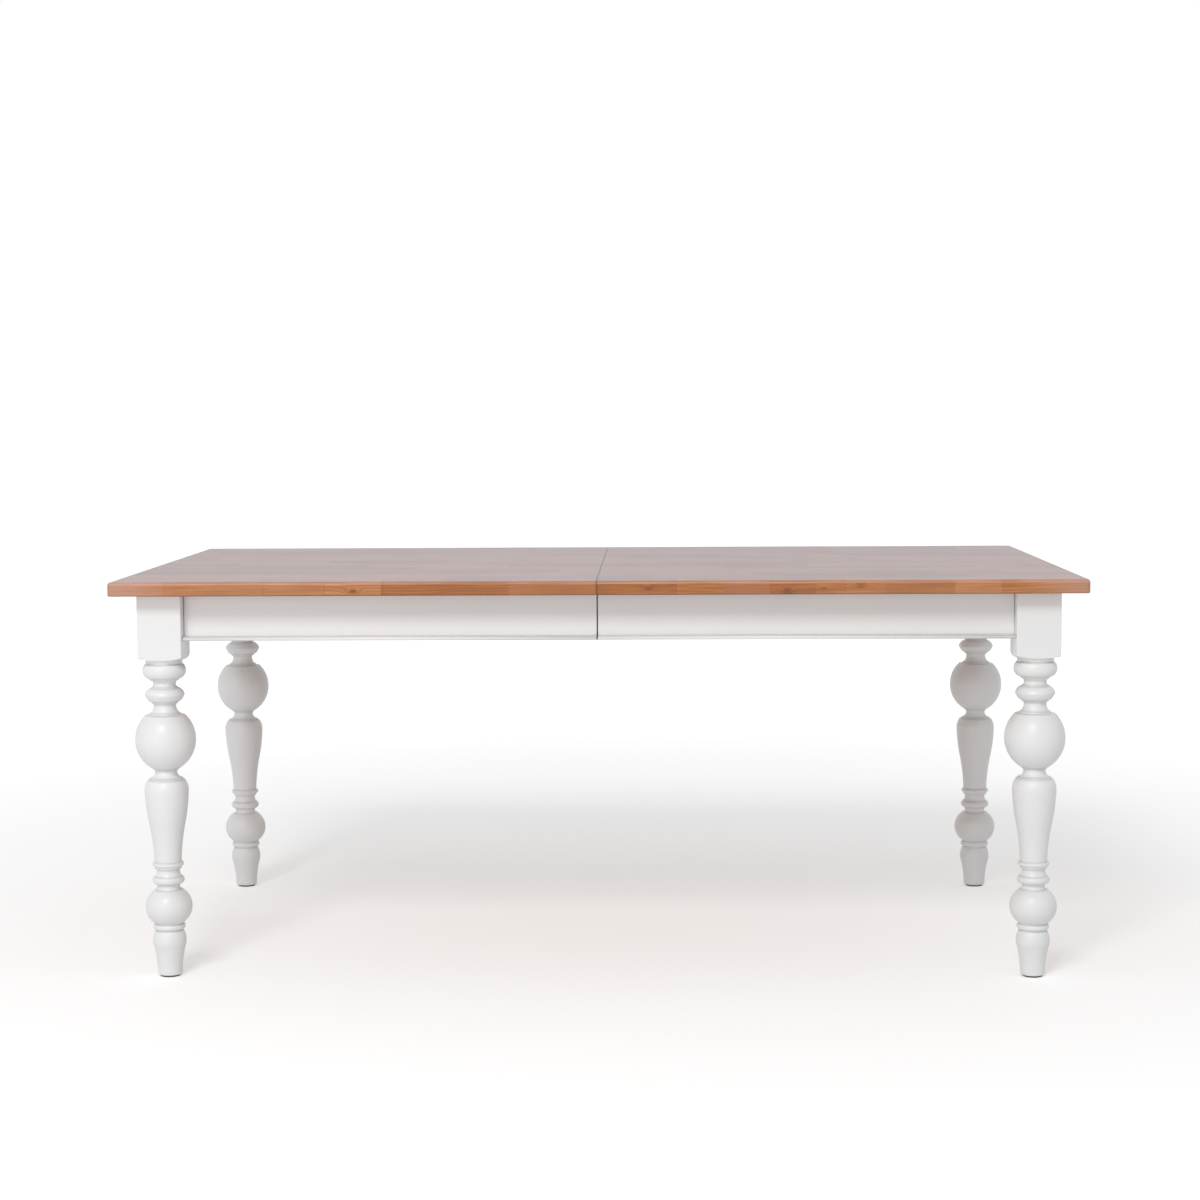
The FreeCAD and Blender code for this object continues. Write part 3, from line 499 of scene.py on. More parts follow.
# Heights of the grooves of a leg, as shares of its turned height
quirks = (0.1425, 0.1625, 0.2718, 0.2900, 0.3130, 0.3375, 0.3595, 0.6197, 0.6245, 0.6502, 0.6550,
          0.8250, 0.8308, 0.8603, 0.8668, 0.9087, 0.9130, 0.9387, 0.9845)
quirk_width = 0.0024
leg_joint_shade_width = 1.6 * mm
apron_low, apron_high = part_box("front_right_apron")
rail_ends = (apron_high.x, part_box("right_end_apron")[1].y)


def in_quirks(paint, up):
    """How near a height is to one of the narrow grooves of a leg, which are painted in shade."""
    share = (up - foot_height) / turned_height
    return sum(paint.bell(((share - quirk) / quirk_width) ** 2.0) for quirk in quirks)


def leg_joint_shade(paint, along, up, rail_end):
    """The thin shadow painted where a rail meets a leg, deepest under the top."""
    at_leg = beyond(paint, paint.one("ABSOLUTE", along), rail_end - leg_joint_shade_width, 0.3 * mm)
    return at_leg * (0.25 + (up - apron_low.z) * (0.60 / (apron_high.z - apron_low.z)))


# %% The frame seam: a painted line of shade at the painted face, and bare wood on the sawn end
sawn_end = rgb(0.260, 0.165, 0.095)
sawn_dark = rgb(0.150, 0.088, 0.048)
frame_seam_shade_line = 1.35 * mm
seam_half = 0.2 * mm


def sawn_seam(paint, colour, place, drift, skin):
    x, y, z = place
    from_seam = paint.one("ABSOLUTE", x)
    open_face = beyond(paint, from_seam, frame_seam_shade_line, 0.25 * mm)
    # Near the seam the paint is darkened: painted shade of the gap between the rails
    colour = paint.blend(0.96 - 0.96 * open_face, colour, painted_joint_shade)
    rings = paint.rings((y * 0.8 + z + (drift - 0.5) * 0.02) * 2600.0)
    sawn = paint.blend(rings * 0.6 + (skin - 0.5) * 0.8, sawn_end, sawn_dark)
    painted = beyond(paint, from_seam, seam_half + end_skin, end_blur)
    return paint.blend(painted, sawn, colour)


# %% The paint
paint_warm = rgb(0.868, 0.868, 0.862)
paint_cool = rgb(0.870, 0.879, 0.890)


def white_paint(name, brush, rail_axis=None):
    """Paint with its brush waves, for a turned leg or a rail along an axis, given by number."""
    paint = Finish(name)
    place = paint.place()
    z = place[2]
    waves = paint.noise(place, brush, detail=3.0)
    drift = paint.noise(place, (2.6, 2.6, 4.0))
    skin = paint.noise(place, (900.0, 900.0, 900.0), detail=1.0)
    colour = paint.blend(drift * 1.4 - 0.2 + (waves - 0.5) * 0.3, paint_warm, paint_cool)
    if rail_axis is None:
        # The grooves of a turned leg are darkened with painted shade
        colour = paint.blend(in_quirks(paint, z) * (0.34 + (waves - 0.5) * 0.5), colour, painted_groove_shade)
    else:
        # A painted shadow where the rail meets a leg
        joint_shade = leg_joint_shade(paint, place[rail_axis], z, rail_ends[rail_axis])
        colour = paint.blend(joint_shade, colour, painted_joint_shade)
    if rail_axis == 0:
        colour = sawn_seam(paint, colour, place, drift, skin)
    paint.bump(waves + skin * 0.10, 0.00010, 0.35)
    rough = 0.36 + (waves - 0.5) * 0.10 + (drift - 0.5) * 0.08
    return paint.feed(Base_Color=colour, Roughness=rough)


turned_paint = white_paint("white_paint_turned", (30.0, 30.0, 260.0))
long_paint = white_paint("white_paint_along", (14.0, 120.0, 160.0), rail_axis=0)
cross_paint = white_paint("white_paint_across", (120.0, 14.0, 160.0), rail_axis=1)

# %% [markdown]
# ## Beech, steel and nylon
#
# The parts under the top are plain planed beech, with its small dark flecks along the grain. The
# grain follows each piece, so there is one beech for pieces along X and one for pieces along Y.
# Screws, nuts, brackets and locks are zinc plated steel, whose plating shows pale cells. The racks
# and the pinions are grey moulded nylon, and the glides under the feet are dark plastic.

# %% Beech
beech_pale = rgb(0.640, 0.455, 0.290)
beech_pink = rgb(0.500, 0.320, 0.185)
beech_fleck = rgb(0.300, 0.170, 0.090)


def beech(name, grain_along_y):
    wood = Finish(name)
    x, y, z = wood.place()
    along, across = (y, x) if grain_along_y else (x, y)
    point = (along, across, z)
    sway = wood.noise(point, (3.0, 12.0, 12.0))
    rings = wood.rings((across * 0.6 + z) * 1150.0 + sway * 26.0)
    fibre = wood.noise(point, (9.0, 500.0, 500.0), detail=3.0)
    dashes = wood.noise(point, (160.0, 900.0, 900.0), detail=1.0)
    fleck = ramp_up(wood, dashes, 0.60, 0.70)
    body = wood.blend(rings * 0.45 + (fibre - 0.5) * 0.9 + sway * 0.35, beech_pale, beech_pink)
    colour = wood.blend(fleck * 0.55, body, beech_fleck)
    wood.bump(fibre * 0.6 - fleck * 0.6, 0.00012, 0.5)
    return wood.feed(Base_Color=colour, Roughness=0.50 + (fibre - 0.5) * 0.16)


beech_along = beech("beech_along", False)
beech_across = beech("beech_across", True)

# %% Steel, nylon and the plastic of the glides
zinc_light = rgb(0.680, 0.690, 0.700)
zinc_dark = rgb(0.520, 0.530, 0.550)


def zinc():
    steel = Finish("zinc_steel_plated", Metallic=1.0)
    place = steel.place()
    crystals = {"Vector": steel.waves(place, (260.0, 260.0, 260.0))}
    cells = steel.channels(steel.add("ShaderNodeTexVoronoi", {}, crystals, "Color"))[0]
    cloud = steel.noise(place, (60.0, 60.0, 60.0), detail=3.0)
    colour = steel.blend(cells * 0.5 + cloud * 0.5, zinc_light, zinc_dark)
    steel.bump(cloud + cells * 0.2, 0.00005, 0.4)
    return steel.feed(Base_Color=colour, Roughness=0.28 + cells * 0.10 + (cloud - 0.5) * 0.22)


def moulded(name, light, dark, roughness):
    plastic = Finish(name)
    place = plastic.place()
    cloud = plastic.noise(place, (45.0, 45.0, 45.0), detail=3.0)
    grain = plastic.noise(place, (1400.0, 1400.0, 1400.0), detail=1.0)
    colour = plastic.blend(cloud, light, dark)
    plastic.bump(grain, 0.00006, 0.5)
    return plastic.feed(Base_Color=colour, Roughness=roughness + (cloud - 0.5) * 0.14)


plated_steel = zinc()
grey_nylon = moulded("grey_nylon_moulded", rgb(0.34, 0.35, 0.36), rgb(0.27, 0.28, 0.29), 0.46)
dark_plastic = moulded("dark_glide_plastic", rgb(0.045, 0.040, 0.036),
                       rgb(0.025, 0.022, 0.020), 0.5)

# %% [markdown]
# ## Tools for making pieces
#
# A board starts as a cube, is stretched to the box of the solid that it stands for, and has its
# edges rounded with the bevel operator. The new faces of a rounding are shaded smooth and the
# flat faces stay flat, so that a highlight runs along the edge and doesn't spread over the board.

# %% From a bmesh to a piece of the table
def mesh_of(shape, name):
    """Turns a shape into a mesh, and frees it."""
    mesh = bpy.data.meshes.new(name)
    shape.to_mesh(mesh)
    shape.free()
    return mesh


def in_scene(name, data):
    """An object of the scene that shows a mesh, or carries a lamp or a camera."""
    made = bpy.data.objects.new(name, data)
    bpy.context.scene.collection.objects.link(made)
    return made


def place_piece(shape, name, node, finish, recalculate=True):
    """Makes the shape an object that stands for a solid and moves with the solid's body."""
    if recalculate:
        bmesh.ops.recalc_face_normals(shape, faces=shape.faces[:])
    mesh = mesh_of(shape, name)
    mesh.materials.append(finish)
    piece = in_scene(name, mesh)
    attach(piece, body_of(frame["nodes"][node])[0])
    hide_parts(node)
    print(name, "has", len(mesh.polygons), "faces")


def only(kind, items):
    """The vertices, the edges or the faces of a mixed list."""
    return [item for item in items if isinstance(item, kind)]


def set_smooth(items, smooth):
    """Shades faces smooth or flat, or marks edges smooth or crisp."""
    for item in items:
        item.smooth = smooth


def keep_crisp(shape, limit):
    """Marks the edges that bend more than an angle as crisp."""
    set_smooth([edge for edge in shape.edges if edge.calc_face_angle(0.0) > limit], False)


def soften(shape, edges, radius, segments):
    made = bmesh.ops.bevel(shape, geom=edges, offset=radius, offset_type="OFFSET", affect="EDGES",
                           segments=segments, profile=0.5, material=-1, clamp_overlap=True)
    set_smooth(made["faces"], True)


def board(low, high):
    shape = bmesh.new()
    size = high - low
    stretch = Matrix.Translation((low + high) / 2) @ Matrix.Diagonal((*size, 1.0))
    bmesh.ops.create_cube(shape, size=1.0, matrix=stretch)
    return shape


def edges_where(shape, test):
    return [edge for edge in shape.edges if all(test(vert.co) for vert in edge.verts)]


def near(first, second):
    return abs(first - second) < tolerance


def unit(axis):
    """The direction of an axis, given by its number."""
    return Vector([float(number == axis) for number in range(3)])


def facing(direction, place):
    """A turn and a shift that take the Z axis to a direction, at a place."""
    turn = unit(2).rotation_difference(direction).to_matrix().to_4x4()
    return Matrix.Translation(place) @ turn


def spin_round(shape, steps, gap):
    """Spins an outline in the XZ plane once round the Z axis, and welds it up."""
    bmesh.ops.spin(shape, geom=shape.verts[:] + shape.edges[:], cent=(0, 0, 0), axis=unit(2),
                   angle=2 * math.pi, steps=steps, use_merge=True)
    bmesh.ops.remove_doubles(shape, verts=shape.verts[:], dist=gap)


# %% A drill
hole_segments = 24


def drill(shape, inward, places, radius, depth):
    """Sinks round holes into the flat face that holds the places."""
    face = max((face for face in shape.faces if near(abs(face.normal.dot(inward)), 1.0)
                and near((places[0] - face.calc_center_median()).dot(inward), 0.0)),
               key=lambda face: face.calc_area())
    outline = list(face.edges)
    bmesh.ops.delete(shape, geom=[face], context="FACES_ONLY")
    rings = []
    for place in places:
        ring = bmesh.ops.create_circle(shape, cap_ends=False, radius=radius, segments=hole_segments,
                                       matrix=facing(inward, place))["verts"]
        rings.append(list({edge for vert in ring for edge in vert.link_edges}))
    edges = outline + [edge for ring in rings for edge in ring]
    bmesh.ops.triangle_fill(shape, use_beauty=True, edges=edges)
    for ring in rings:
        wall = bmesh.ops.extrude_edge_only(shape, edges=ring)["geom"]
        floor_verts = only(BMVert, wall)
        bmesh.ops.translate(shape, verts=floor_verts, vec=inward * depth)
        set_smooth(only(BMFace, wall), True)
        bottom = [edge for edge in only(BMEdge, wall) if set(edge.verts).issubset(floor_verts)]
        bmesh.ops.contextual_create(shape, geom=bottom)


# %% [markdown]
# ## The two half tops and the leaf
#
# Each half top is one board. Its outer corners are rounded first, then the long upper edge that
# runs round them, then the lower edge. The edge at the seam keeps its shape and only loses its
# arris, so that the closed table shows one thin line there. The leaf is the same board, stored
# upside up under the left half, and only its two short ends are rounded. Holes for the dowels are
# drilled into the seam face of the left half and into one long edge of the leaf.

# %% Half tops and leaf
corner_radius = 9.0 * mm
upper_round = 6.0 * mm
lower_round = 2.0 * mm
seam_arris = 0.8 * mm
leaf_arris = 0.7 * mm
hole_radius = 5.3 * mm
hole_depth = 14.0 * mm
dowel_step = 330.0 * mm


def round_off(shape, low, high, is_outer):
    """Rounds the upper and the lower edges that pass a test, the upper ones more."""
    for level, radius, segments in ((high.z, upper_round, 7), (low.z, lower_round, 4)):
        rim = [edge for edge in edges_where(shape, lambda co: near(co.z, level)) if is_outer(edge)]
        soften(shape, rim, radius, segments)


def dowel_holes(shape, inward, middle, axis):
    """Drills the holes of the three dowels, in a row along an axis, given by its number."""
    places = [middle + unit(axis) * (turn * dowel_step) for turn in (-1, 0, 1)]
    drill(shape, inward, places, hole_radius, hole_depth)


def top_board(side):
    low, high = (corner.copy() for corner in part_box(side + "_top"))
    seam_x = -top_seam_half if side == "left" else top_seam_half
    (high if side == "left" else low).x = seam_x
    shape = board(low, high)
    outer = [edge for edge in shape.edges
             if near(edge.verts[0].co.x, edge.verts[1].co.x)
             and near(edge.verts[0].co.y, edge.verts[1].co.y)
             and not near(edge.verts[0].co.x, seam_x)]
    soften(shape, outer, corner_radius, segments=8)
    round_off(shape, low, high,
              lambda edge: not all(near(vert.co.x, seam_x) for vert in edge.verts))
    soften(shape, edges_where(shape, lambda co: near(co.x, seam_x)), seam_arris, segments=2)
    if side == "left":
        dowel_holes(shape, -unit(0), Vector((seam_x, 0.0, top_middle)), 1)
    place_piece(shape, "staved_" + side + "_top", side + "_top", top_wood)


def leaf_board():
    low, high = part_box("extension_leaf")
    shape = board(low, high)
    round_off(shape, low, high, lambda edge: near(edge.verts[0].co.x, edge.verts[1].co.x))
    for side_y in (low.y, high.y):
        long_edges = edges_where(shape, lambda co: near(co.y, side_y))
        soften(shape, long_edges, leaf_arris, segments=2)
    dowel_holes(shape, -unit(1), Vector((leaf_middle.x, high.y, leaf_middle.z)), 0)
    place_piece(shape, "staved_leaf", "extension_leaf", leaf_wood)


top_board("left")
top_board("right")
leaf_board()

# %% [markdown]
# ## Aprons and beads
#
# The aprons are planed rails with a light arris. Under each one runs a thin bead whose nose is
# rounded and stands proud of the apron, so that it catches the light in one bright line.

# %% Aprons and beads
apron_arris = 0.8 * mm
nose_round = 3.0 * mm
corners = ("front_left", "rear_left", "front_right", "rear_right")
frame_seam_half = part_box("front_right_apron")[0].x


def rail_box(name):
    """The box of a rail, which at the seam runs on until the gap there is a thin line."""
    low, high = (corner.copy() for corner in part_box(name))
    if near(abs(high.x), frame_seam_half):
        high.x = -seam_half
    if near(abs(low.x), frame_seam_half):
        low.x = seam_half
    return low, high


def apron(name, finish):
    shape = board(*rail_box(name))
    soften(shape, shape.edges[:], apron_arris, segments=3)
    place_piece(shape, "painted_" + name, name, finish)


def bead(name, axis, outward, finish):
    low, high = rail_box(name)
    nose = low[axis] if outward < 0 else high[axis]
    run = 1 - axis
    shape = board(low, high)
    noses = [edge for edge in edges_where(shape, lambda co: near(co[axis], nose))
             if not near(edge.verts[0].co[run], edge.verts[1].co[run])]
    soften(shape, noses, nose_round, segments=7)
    place_piece(shape, "painted_" + name, name, finish)


for corner in corners:
    apron(corner + "_apron", long_paint)
    bead(corner + "_bead", 1, -1 if corner.startswith("front") else 1, long_paint)
for side in ("left", "right"):
    apron(side + "_end_apron", cross_paint)
    bead(side + "_end_bead", 0, -1 if side == "left" else 1, cross_paint)

# %% [markdown]
# ## Turned legs
#
# A leg is turned from a square blank. Here it is made in the same order. Its outline is drawn
# from the foot to the block: a straight stretch is an extruded vertex, and a hollow or a bulge is
# a vertex spun about the centre of its arc. The outline is spun round the axis of the leg, wide
# enough at the top to hold the square blank, and four planes then saw the block square. That
# leaves the curved shoulders which the lathe cuts at the lower corners of a block.

# %% Outline of a leg
block_half = 41.0 * mm
ball_radius = 56.6 * mm
foot_radius = 19.5 * mm
shoulder_start = 1.0 * mm
shoulder_rise = 6.0 * mm
block_arris = 1.5 * mm
flat_bottom = 662.0 * mm
flat_depth = 8.0 * mm
blank_allowance = 2.0 * mm
blank_rise = 0.4 * mm
longest_step = 3.2 * mm
fewest_steps, most_steps = 3, 14

# The stretches of the outline, upwards. Two figures are the end of a straight stretch, and four
# are a point that a curve bulges through and its end. The first figure of a point is a share of
# the turned height, and the second a share of the radius of the great ball.
turning = (
    (0.002, 0.389, 0.007, 0.408),  # rounded edge of the foot
    (0.057, 0.452, 0.098, 0.548),  # tapered foot
    (0.120, 0.544, 0.139, 0.478),  # shoulder of the foot
    (0.1395, 0.446), (0.1455, 0.446), (0.1462, 0.502),
    (0.1535, 0.536, 0.1605, 0.502),  # ankle ring
    (0.1612, 0.470), (0.1645, 0.478),
    (0.214, 0.777, 0.271, 0.450),  # small ball
    (0.2715, 0.408),
    (0.2800, 0.374, 0.2890, 0.408),
    (0.2895, 0.448),
    (0.302, 0.534, 0.3125, 0.470),  # flared bead
    (0.3130, 0.440),
    (0.3230, 0.392, 0.3300, 0.378),
    (0.3375, 0.378), (0.3380, 0.440), (0.3445, 0.446), (0.3450, 0.474),
    (0.3520, 0.520, 0.3585, 0.474),  # thin ring
    (0.3590, 0.446),
    (0.418, 0.489, 0.475, 0.583),  # hollow of the vase
    (0.527, 0.677, 0.582, 0.724),  # swell of the vase
    (0.605, 0.690, 0.6190, 0.606),  # shoulder of the vase
    (0.6195, 0.566), (0.6235, 0.554), (0.6240, 0.520),
    (0.6310, 0.412, 0.6390, 0.364),  # neck under the great ball
    (0.6500, 0.364), (0.6505, 0.406), (0.6545, 0.412), (0.6555, 0.466),
    (0.746, 1.000, 0.823, 0.664),  # great ball
    (0.8255, 0.530), (0.8300, 0.512), (0.8305, 0.470),
    (0.8400, 0.400, 0.8500, 0.372),
    (0.8600, 0.376), (0.8605, 0.440), (0.8665, 0.456), (0.8670, 0.520),
    (0.8790, 0.616, 0.8880, 0.659),  # pointed bead, lower side
    (0.8990, 0.604, 0.9080, 0.490),  # pointed bead, upper side
    (0.9085, 0.440), (0.9125, 0.430), (0.9130, 0.386), (0.9240, 0.372),
    (0.9290, 0.400, 0.9335, 0.480),
    (0.9385, 0.500), (0.9390, 0.566),
    (0.9610, 0.716, 0.9825, 0.640),  # torus
    (0.9830, 0.584), (0.9865, 0.578), (0.9870, 0.608), (1.0000, 0.608),  # collar under the block
)


def in_plane(x, z):
    """A point of the upright plane in which an outline is drawn."""
    return Vector((x, 0.0, z))


def turned_point(share_height, share_radius):
    return in_plane(ball_radius * share_radius, foot_height + turned_height * share_height)


def arc_centre(start, bulge, end):
    """Centre of the circle through three points of the XZ plane."""
    first, second = bulge - start, end - bulge
    area = first.x * second.z - first.z * second.x
    half_first = first.dot((start + bulge) / 2)
    half_second = second.dot((bulge + end) / 2)
    centre_x = (half_first * second.z - half_second * first.z) / area
    centre_z = (first.x * half_second - second.x * half_first) / area
    return in_plane(centre_x, centre_z)


def draw_straight(shape, vert, end):
    made = bmesh.ops.extrude_vert_indiv(shape, verts=[vert])["verts"][0]
    made.co = end
    return made


def draw_arc(shape, vert, bulge, end, steps):
    centre = arc_centre(vert.co, bulge, end)
    start_arm, bulge_arm, end_arm = vert.co - centre, bulge - centre, end - centre
    angle = start_arm.angle(bulge_arm) + bulge_arm.angle(end_arm)
    turn = start_arm.cross(bulge_arm).y
    axis = Vector((0.0, math.copysign(1.0, turn), 0.0))
    made = bmesh.ops.spin(shape, geom=[vert], cent=centre, axis=axis, angle=angle, steps=steps)
    last = only(BMVert, made["geom_last"])[0]
    last.co = end
    return last


def arc_steps(start, bulge, end):
    length = (bulge - start).length + (end - bulge).length
    return max(fewest_steps, min(most_steps, round(length / longest_step)))


def leg_outline(shape):
    vert = shape.verts.new(in_plane(0.0, foot_height))
    vert = draw_straight(shape, vert, in_plane(foot_radius, foot_height))
    for *bulge, share_height, share_radius in turning:
        end = turned_point(share_height, share_radius)
        if bulge:
            middle = turned_point(*bulge)
            vert = draw_arc(shape, vert, middle, end, arc_steps(vert.co, middle, end))
        else:
            vert = draw_straight(shape, vert, end)
    corner = block_half * math.sqrt(2)
    flat = block_half + shoulder_start
    vert = draw_straight(shape, vert, in_plane(flat, block_bottom))
    bulge = in_plane((flat + corner * 2) / 3, block_bottom + shoulder_rise / 2)
    vert = draw_arc(shape, vert, bulge, in_plane(corner, block_bottom + shoulder_rise), steps=6)
    rim = corner + blank_allowance
    for x, z in ((rim, block_bottom + shoulder_rise + blank_rise), (rim, top_underside),
                 (0.0, top_underside)):
        vert = draw_straight(shape, vert, in_plane(x, z))


# %% Saws for the block of a leg
def above(shape, level):
    """The part of a shape that lies wholly above a level."""
    verts = [vert for vert in shape.verts if vert.co.z > level - tolerance]
    chosen = set(verts)
    edges = [edge for edge in shape.edges if chosen.issuperset(edge.verts)]
    faces = [face for face in shape.faces if chosen.issuperset(face.verts)]
    return verts + edges + faces


def saw(shape, geometry, point, outward):
    """Cuts away what lies beyond a plane, and closes the cut."""
    cut = bmesh.ops.bisect_plane(shape, geom=geometry, dist=weld,
                                 plane_co=point, plane_no=outward, clear_outer=True)
    made = bmesh.ops.contextual_create(shape, geom=only(BMEdge, cut["geom_cut"]))
    set_smooth(made["faces"], False)


def cut_bolt_flat(shape, inward):
    """Takes off the inner arris of the block, where the bolts of the corner block pull."""
    bmesh.ops.bisect_plane(shape, geom=above(shape, block_bottom), dist=weld,
                           plane_co=unit(2) * flat_bottom, plane_no=unit(2))
    flat_at = block_half * math.sqrt(2) - flat_depth
    bmesh.ops.bisect_plane(shape, geom=above(shape, flat_bottom), dist=weld,
                           plane_co=inward * flat_at, plane_no=inward)
    arris = [face for face in only(BMFace, above(shape, flat_bottom))
             if face.calc_center_median().dot(inward) > flat_at + tolerance]
    bmesh.ops.delete(shape, geom=arris, context="FACES")
    rim = [edge for edge in shape.edges if edge.is_boundary]
    upright = [edge for edge in rim
               if all(near(vert.co.dot(inward), flat_at) for vert in edge.verts)]
    low_ends = {vert for edge in upright for vert in edge.verts if near(vert.co.z, flat_bottom)}
    across = shape.edges.new(list(low_ends))
    made = bmesh.ops.contextual_create(shape, geom=upright + [across])["faces"]
    ledge = [edge for edge in rim if all(near(vert.co.z, flat_bottom) for vert in edge.verts)]
    made += bmesh.ops.contextual_create(shape, geom=ledge + [across])["faces"]
    set_smooth(made, False)
    print("bolt flat:", len(arris), "faces off,", len(made), "made")


# %% Leg: spin the outline, saw the block, soften its arrises
crisp_angle = math.radians(28)
spin_steps = 96


def turned_leg(corner):
    shape = bmesh.new()
    leg_outline(shape)
    spin_round(shape, spin_steps, tolerance)
    set_smooth(shape.faces, True)
    for outward in (unit(0), -unit(0), unit(1), -unit(1)):
        saw(shape, above(shape, block_bottom), outward * block_half, outward)
    upright = [edge for edge in shape.edges
               if all(near(abs(vert.co.x), block_half) and near(abs(vert.co.y), block_half)
                      for vert in edge.verts)]
    soften(shape, upright, block_arris, segments=4)
    upper_end = [face for face in shape.faces if near(face.normal.z, 1.0)
                 and near(face.calc_center_median().z, top_underside)]
    set_smooth(upper_end, False)
    side_x = -1 if "left" in corner else 1
    side_y = -1 if "front" in corner else 1
    cut_bolt_flat(shape, Vector((-side_x, -side_y, 0.0)).normalized())
    keep_crisp(shape, crisp_angle)
    bmesh.ops.translate(shape, verts=shape.verts[:], vec=(side_x * leg_x, side_y * leg_y, 0.0))
    name = corner + "_leg"
    place_piece(shape, "turned_" + name, name, turned_paint)


for corner in corners:
    turned_leg(corner)

# %% [markdown]
# ## Planed beech and pressed steel under the top
#
# The rails, slides, blocks and locks have the right shape in the frame, but every arris is sharp.
# A planed rail has its arrises eased by a stroke of the plane, and a pressed plate has them
# tumbled. So each of these pieces takes the mesh of its solid, its flats are joined up again from
# their triangles, and its straight arrises are rounded. The rims of drilled holes stay sharp, as
# a drill leaves them.

# %% Solids with eased arrises
flat_angle = math.radians(0.5)
arris_angle = math.radians(35)
shortest_arris = 3.0 * mm
beech_arris = 0.8 * mm
steel_arris = 0.5 * mm
nut_arris = 0.4 * mm
nylon_arris = 0.15 * mm


def solid_mesh(node):
    """The mesh of a solid, with its triangles welded together."""
    shape = bmesh.new()
    shape.from_mesh(frame["nodes"][node].data)
    bmesh.ops.remove_doubles(shape, verts=shape.verts[:], dist=weld)
    return shape


def eased(node, finish, radius, shortest=shortest_arris):
    shape = solid_mesh(node)
    bmesh.ops.dissolve_limit(shape, angle_limit=flat_angle, verts=shape.verts[:],
                             edges=shape.edges[:])
    for face in shape.faces:
        angles = [edge.calc_face_angle(0.0) for edge in face.edges]
        face.smooth = any(flat_angle < angle < arris_angle for angle in angles)
    arrises = [edge for edge in shape.edges
               if edge.calc_face_angle(0.0) > arris_angle and edge.calc_length() > shortest]
    soften(shape, arrises, radius, segments=2)
    keep_crisp(shape, arris_angle)
    place_piece(shape, "eased_" + node, node, finish, recalculate=False)


# %% Beech, steel and nylon pieces
beech_along_pieces = ("front_leaf_bearer", "rear_leaf_bearer", "rear_leaf_ledge",
                      "front_middle_slide", "rear_middle_slide", "front_left_slide",
                      "rear_left_slide", "front_right_slide", "rear_right_slide")
beech_across_pieces = ("left_cross_rail", "right_cross_rail", "left_corner_blocks",
                       "right_corner_blocks", "end_leaf_button", "seam_leaf_button")
for node in beech_along_pieces:
    eased(node, beech_along, beech_arris)
for node in beech_across_pieces:
    eased(node, beech_across, beech_arris)
for node in ("front_lock_lever", "rear_lock_lever", "lock_bases", "lock_keepers"):
    eased(node, plated_steel, steel_arris)
for node in ("left_corner_nuts", "right_corner_nuts"):
    eased(node, plated_steel, nut_arris)
for node in ("left_racks", "right_racks", "front_pinion", "rear_pinion"):
    eased(node, grey_nylon, nylon_arris, shortest=0.0)

# %% [markdown]
# ## Brackets, screws, dowels and glides
#
# Some nodes hold many alike parts. Each part is found in the mesh of its node as the set of points
# that hang together, and its box gives the place of the part made here. A bracket is a strip bent
# round a small radius. A screw has a domed head with a cross recess, pressed in as a tapering pit.
# Dowels have a chamfer that lets them find their hole, and a glide has a rounded rim that slides.

# %% Parts of a node
def parts_of(node):
    """The separate parts of a node, each as the list of its points."""
    shape = solid_mesh(node)
    waiting = set(shape.verts)
    parts = []
    while waiting:
        front = [waiting.pop()]
        points = []
        while front:
            vert = front.pop()
            points.append(vert.co.copy())
            for edge in vert.link_edges:
                other = edge.other_vert(vert)
                if other in waiting:
                    waiting.remove(other)
                    front.append(other)
        parts.append(points)
    shape.free()
    return sorted(parts, key=lambda points: tuple(round(value, 4) for value in box_of(points)[0]))


def box_of(points):
    low = Vector([min(point[axis] for point in points) for axis in range(3)])
    high = Vector([max(point[axis] for point in points) for axis in range(3)])
    return low, high


def longest_axis(size):
    return max(range(3), key=lambda axis: size[axis])


def turn_on_lathe(outline, steps):
    """Makes a shape from an outline, given as the X and Z of its points."""
    shape = bmesh.new()
    vert = shape.verts.new(in_plane(*outline[0]))
    for point in outline[1:]:
        vert = draw_straight(shape, vert, in_plane(*point))
    spin_round(shape, steps, weld)
    return shape


def remake_parts(prefix, node, finish, remake, crisp_limit=arris_angle):
    """Makes the parts of a node again, each from its points, and joins them in one piece."""
    whole = bmesh.new()
    for points in parts_of(node):
        shape, place = remake(points)
        set_smooth(shape.faces, True)
        keep_crisp(shape, crisp_limit)
        bmesh.ops.transform(shape, matrix=place, verts=shape.verts[:])
        passing = mesh_of(shape, "passing")
        whole.from_mesh(passing)
        bpy.data.meshes.remove(passing)
    place_piece(whole, prefix + "_" + node, node, finish)


# %% Bent brackets
bracket_width = 20.0 * mm
bracket_leg = 24.0 * mm
bracket_plate = 2.0 * mm
bend_radius = 3.0 * mm
round_middle = 1 - math.sqrt(0.5)  # from the square corner to the middle of a rounding, in radii
bracket_corner = 4.0 * mm


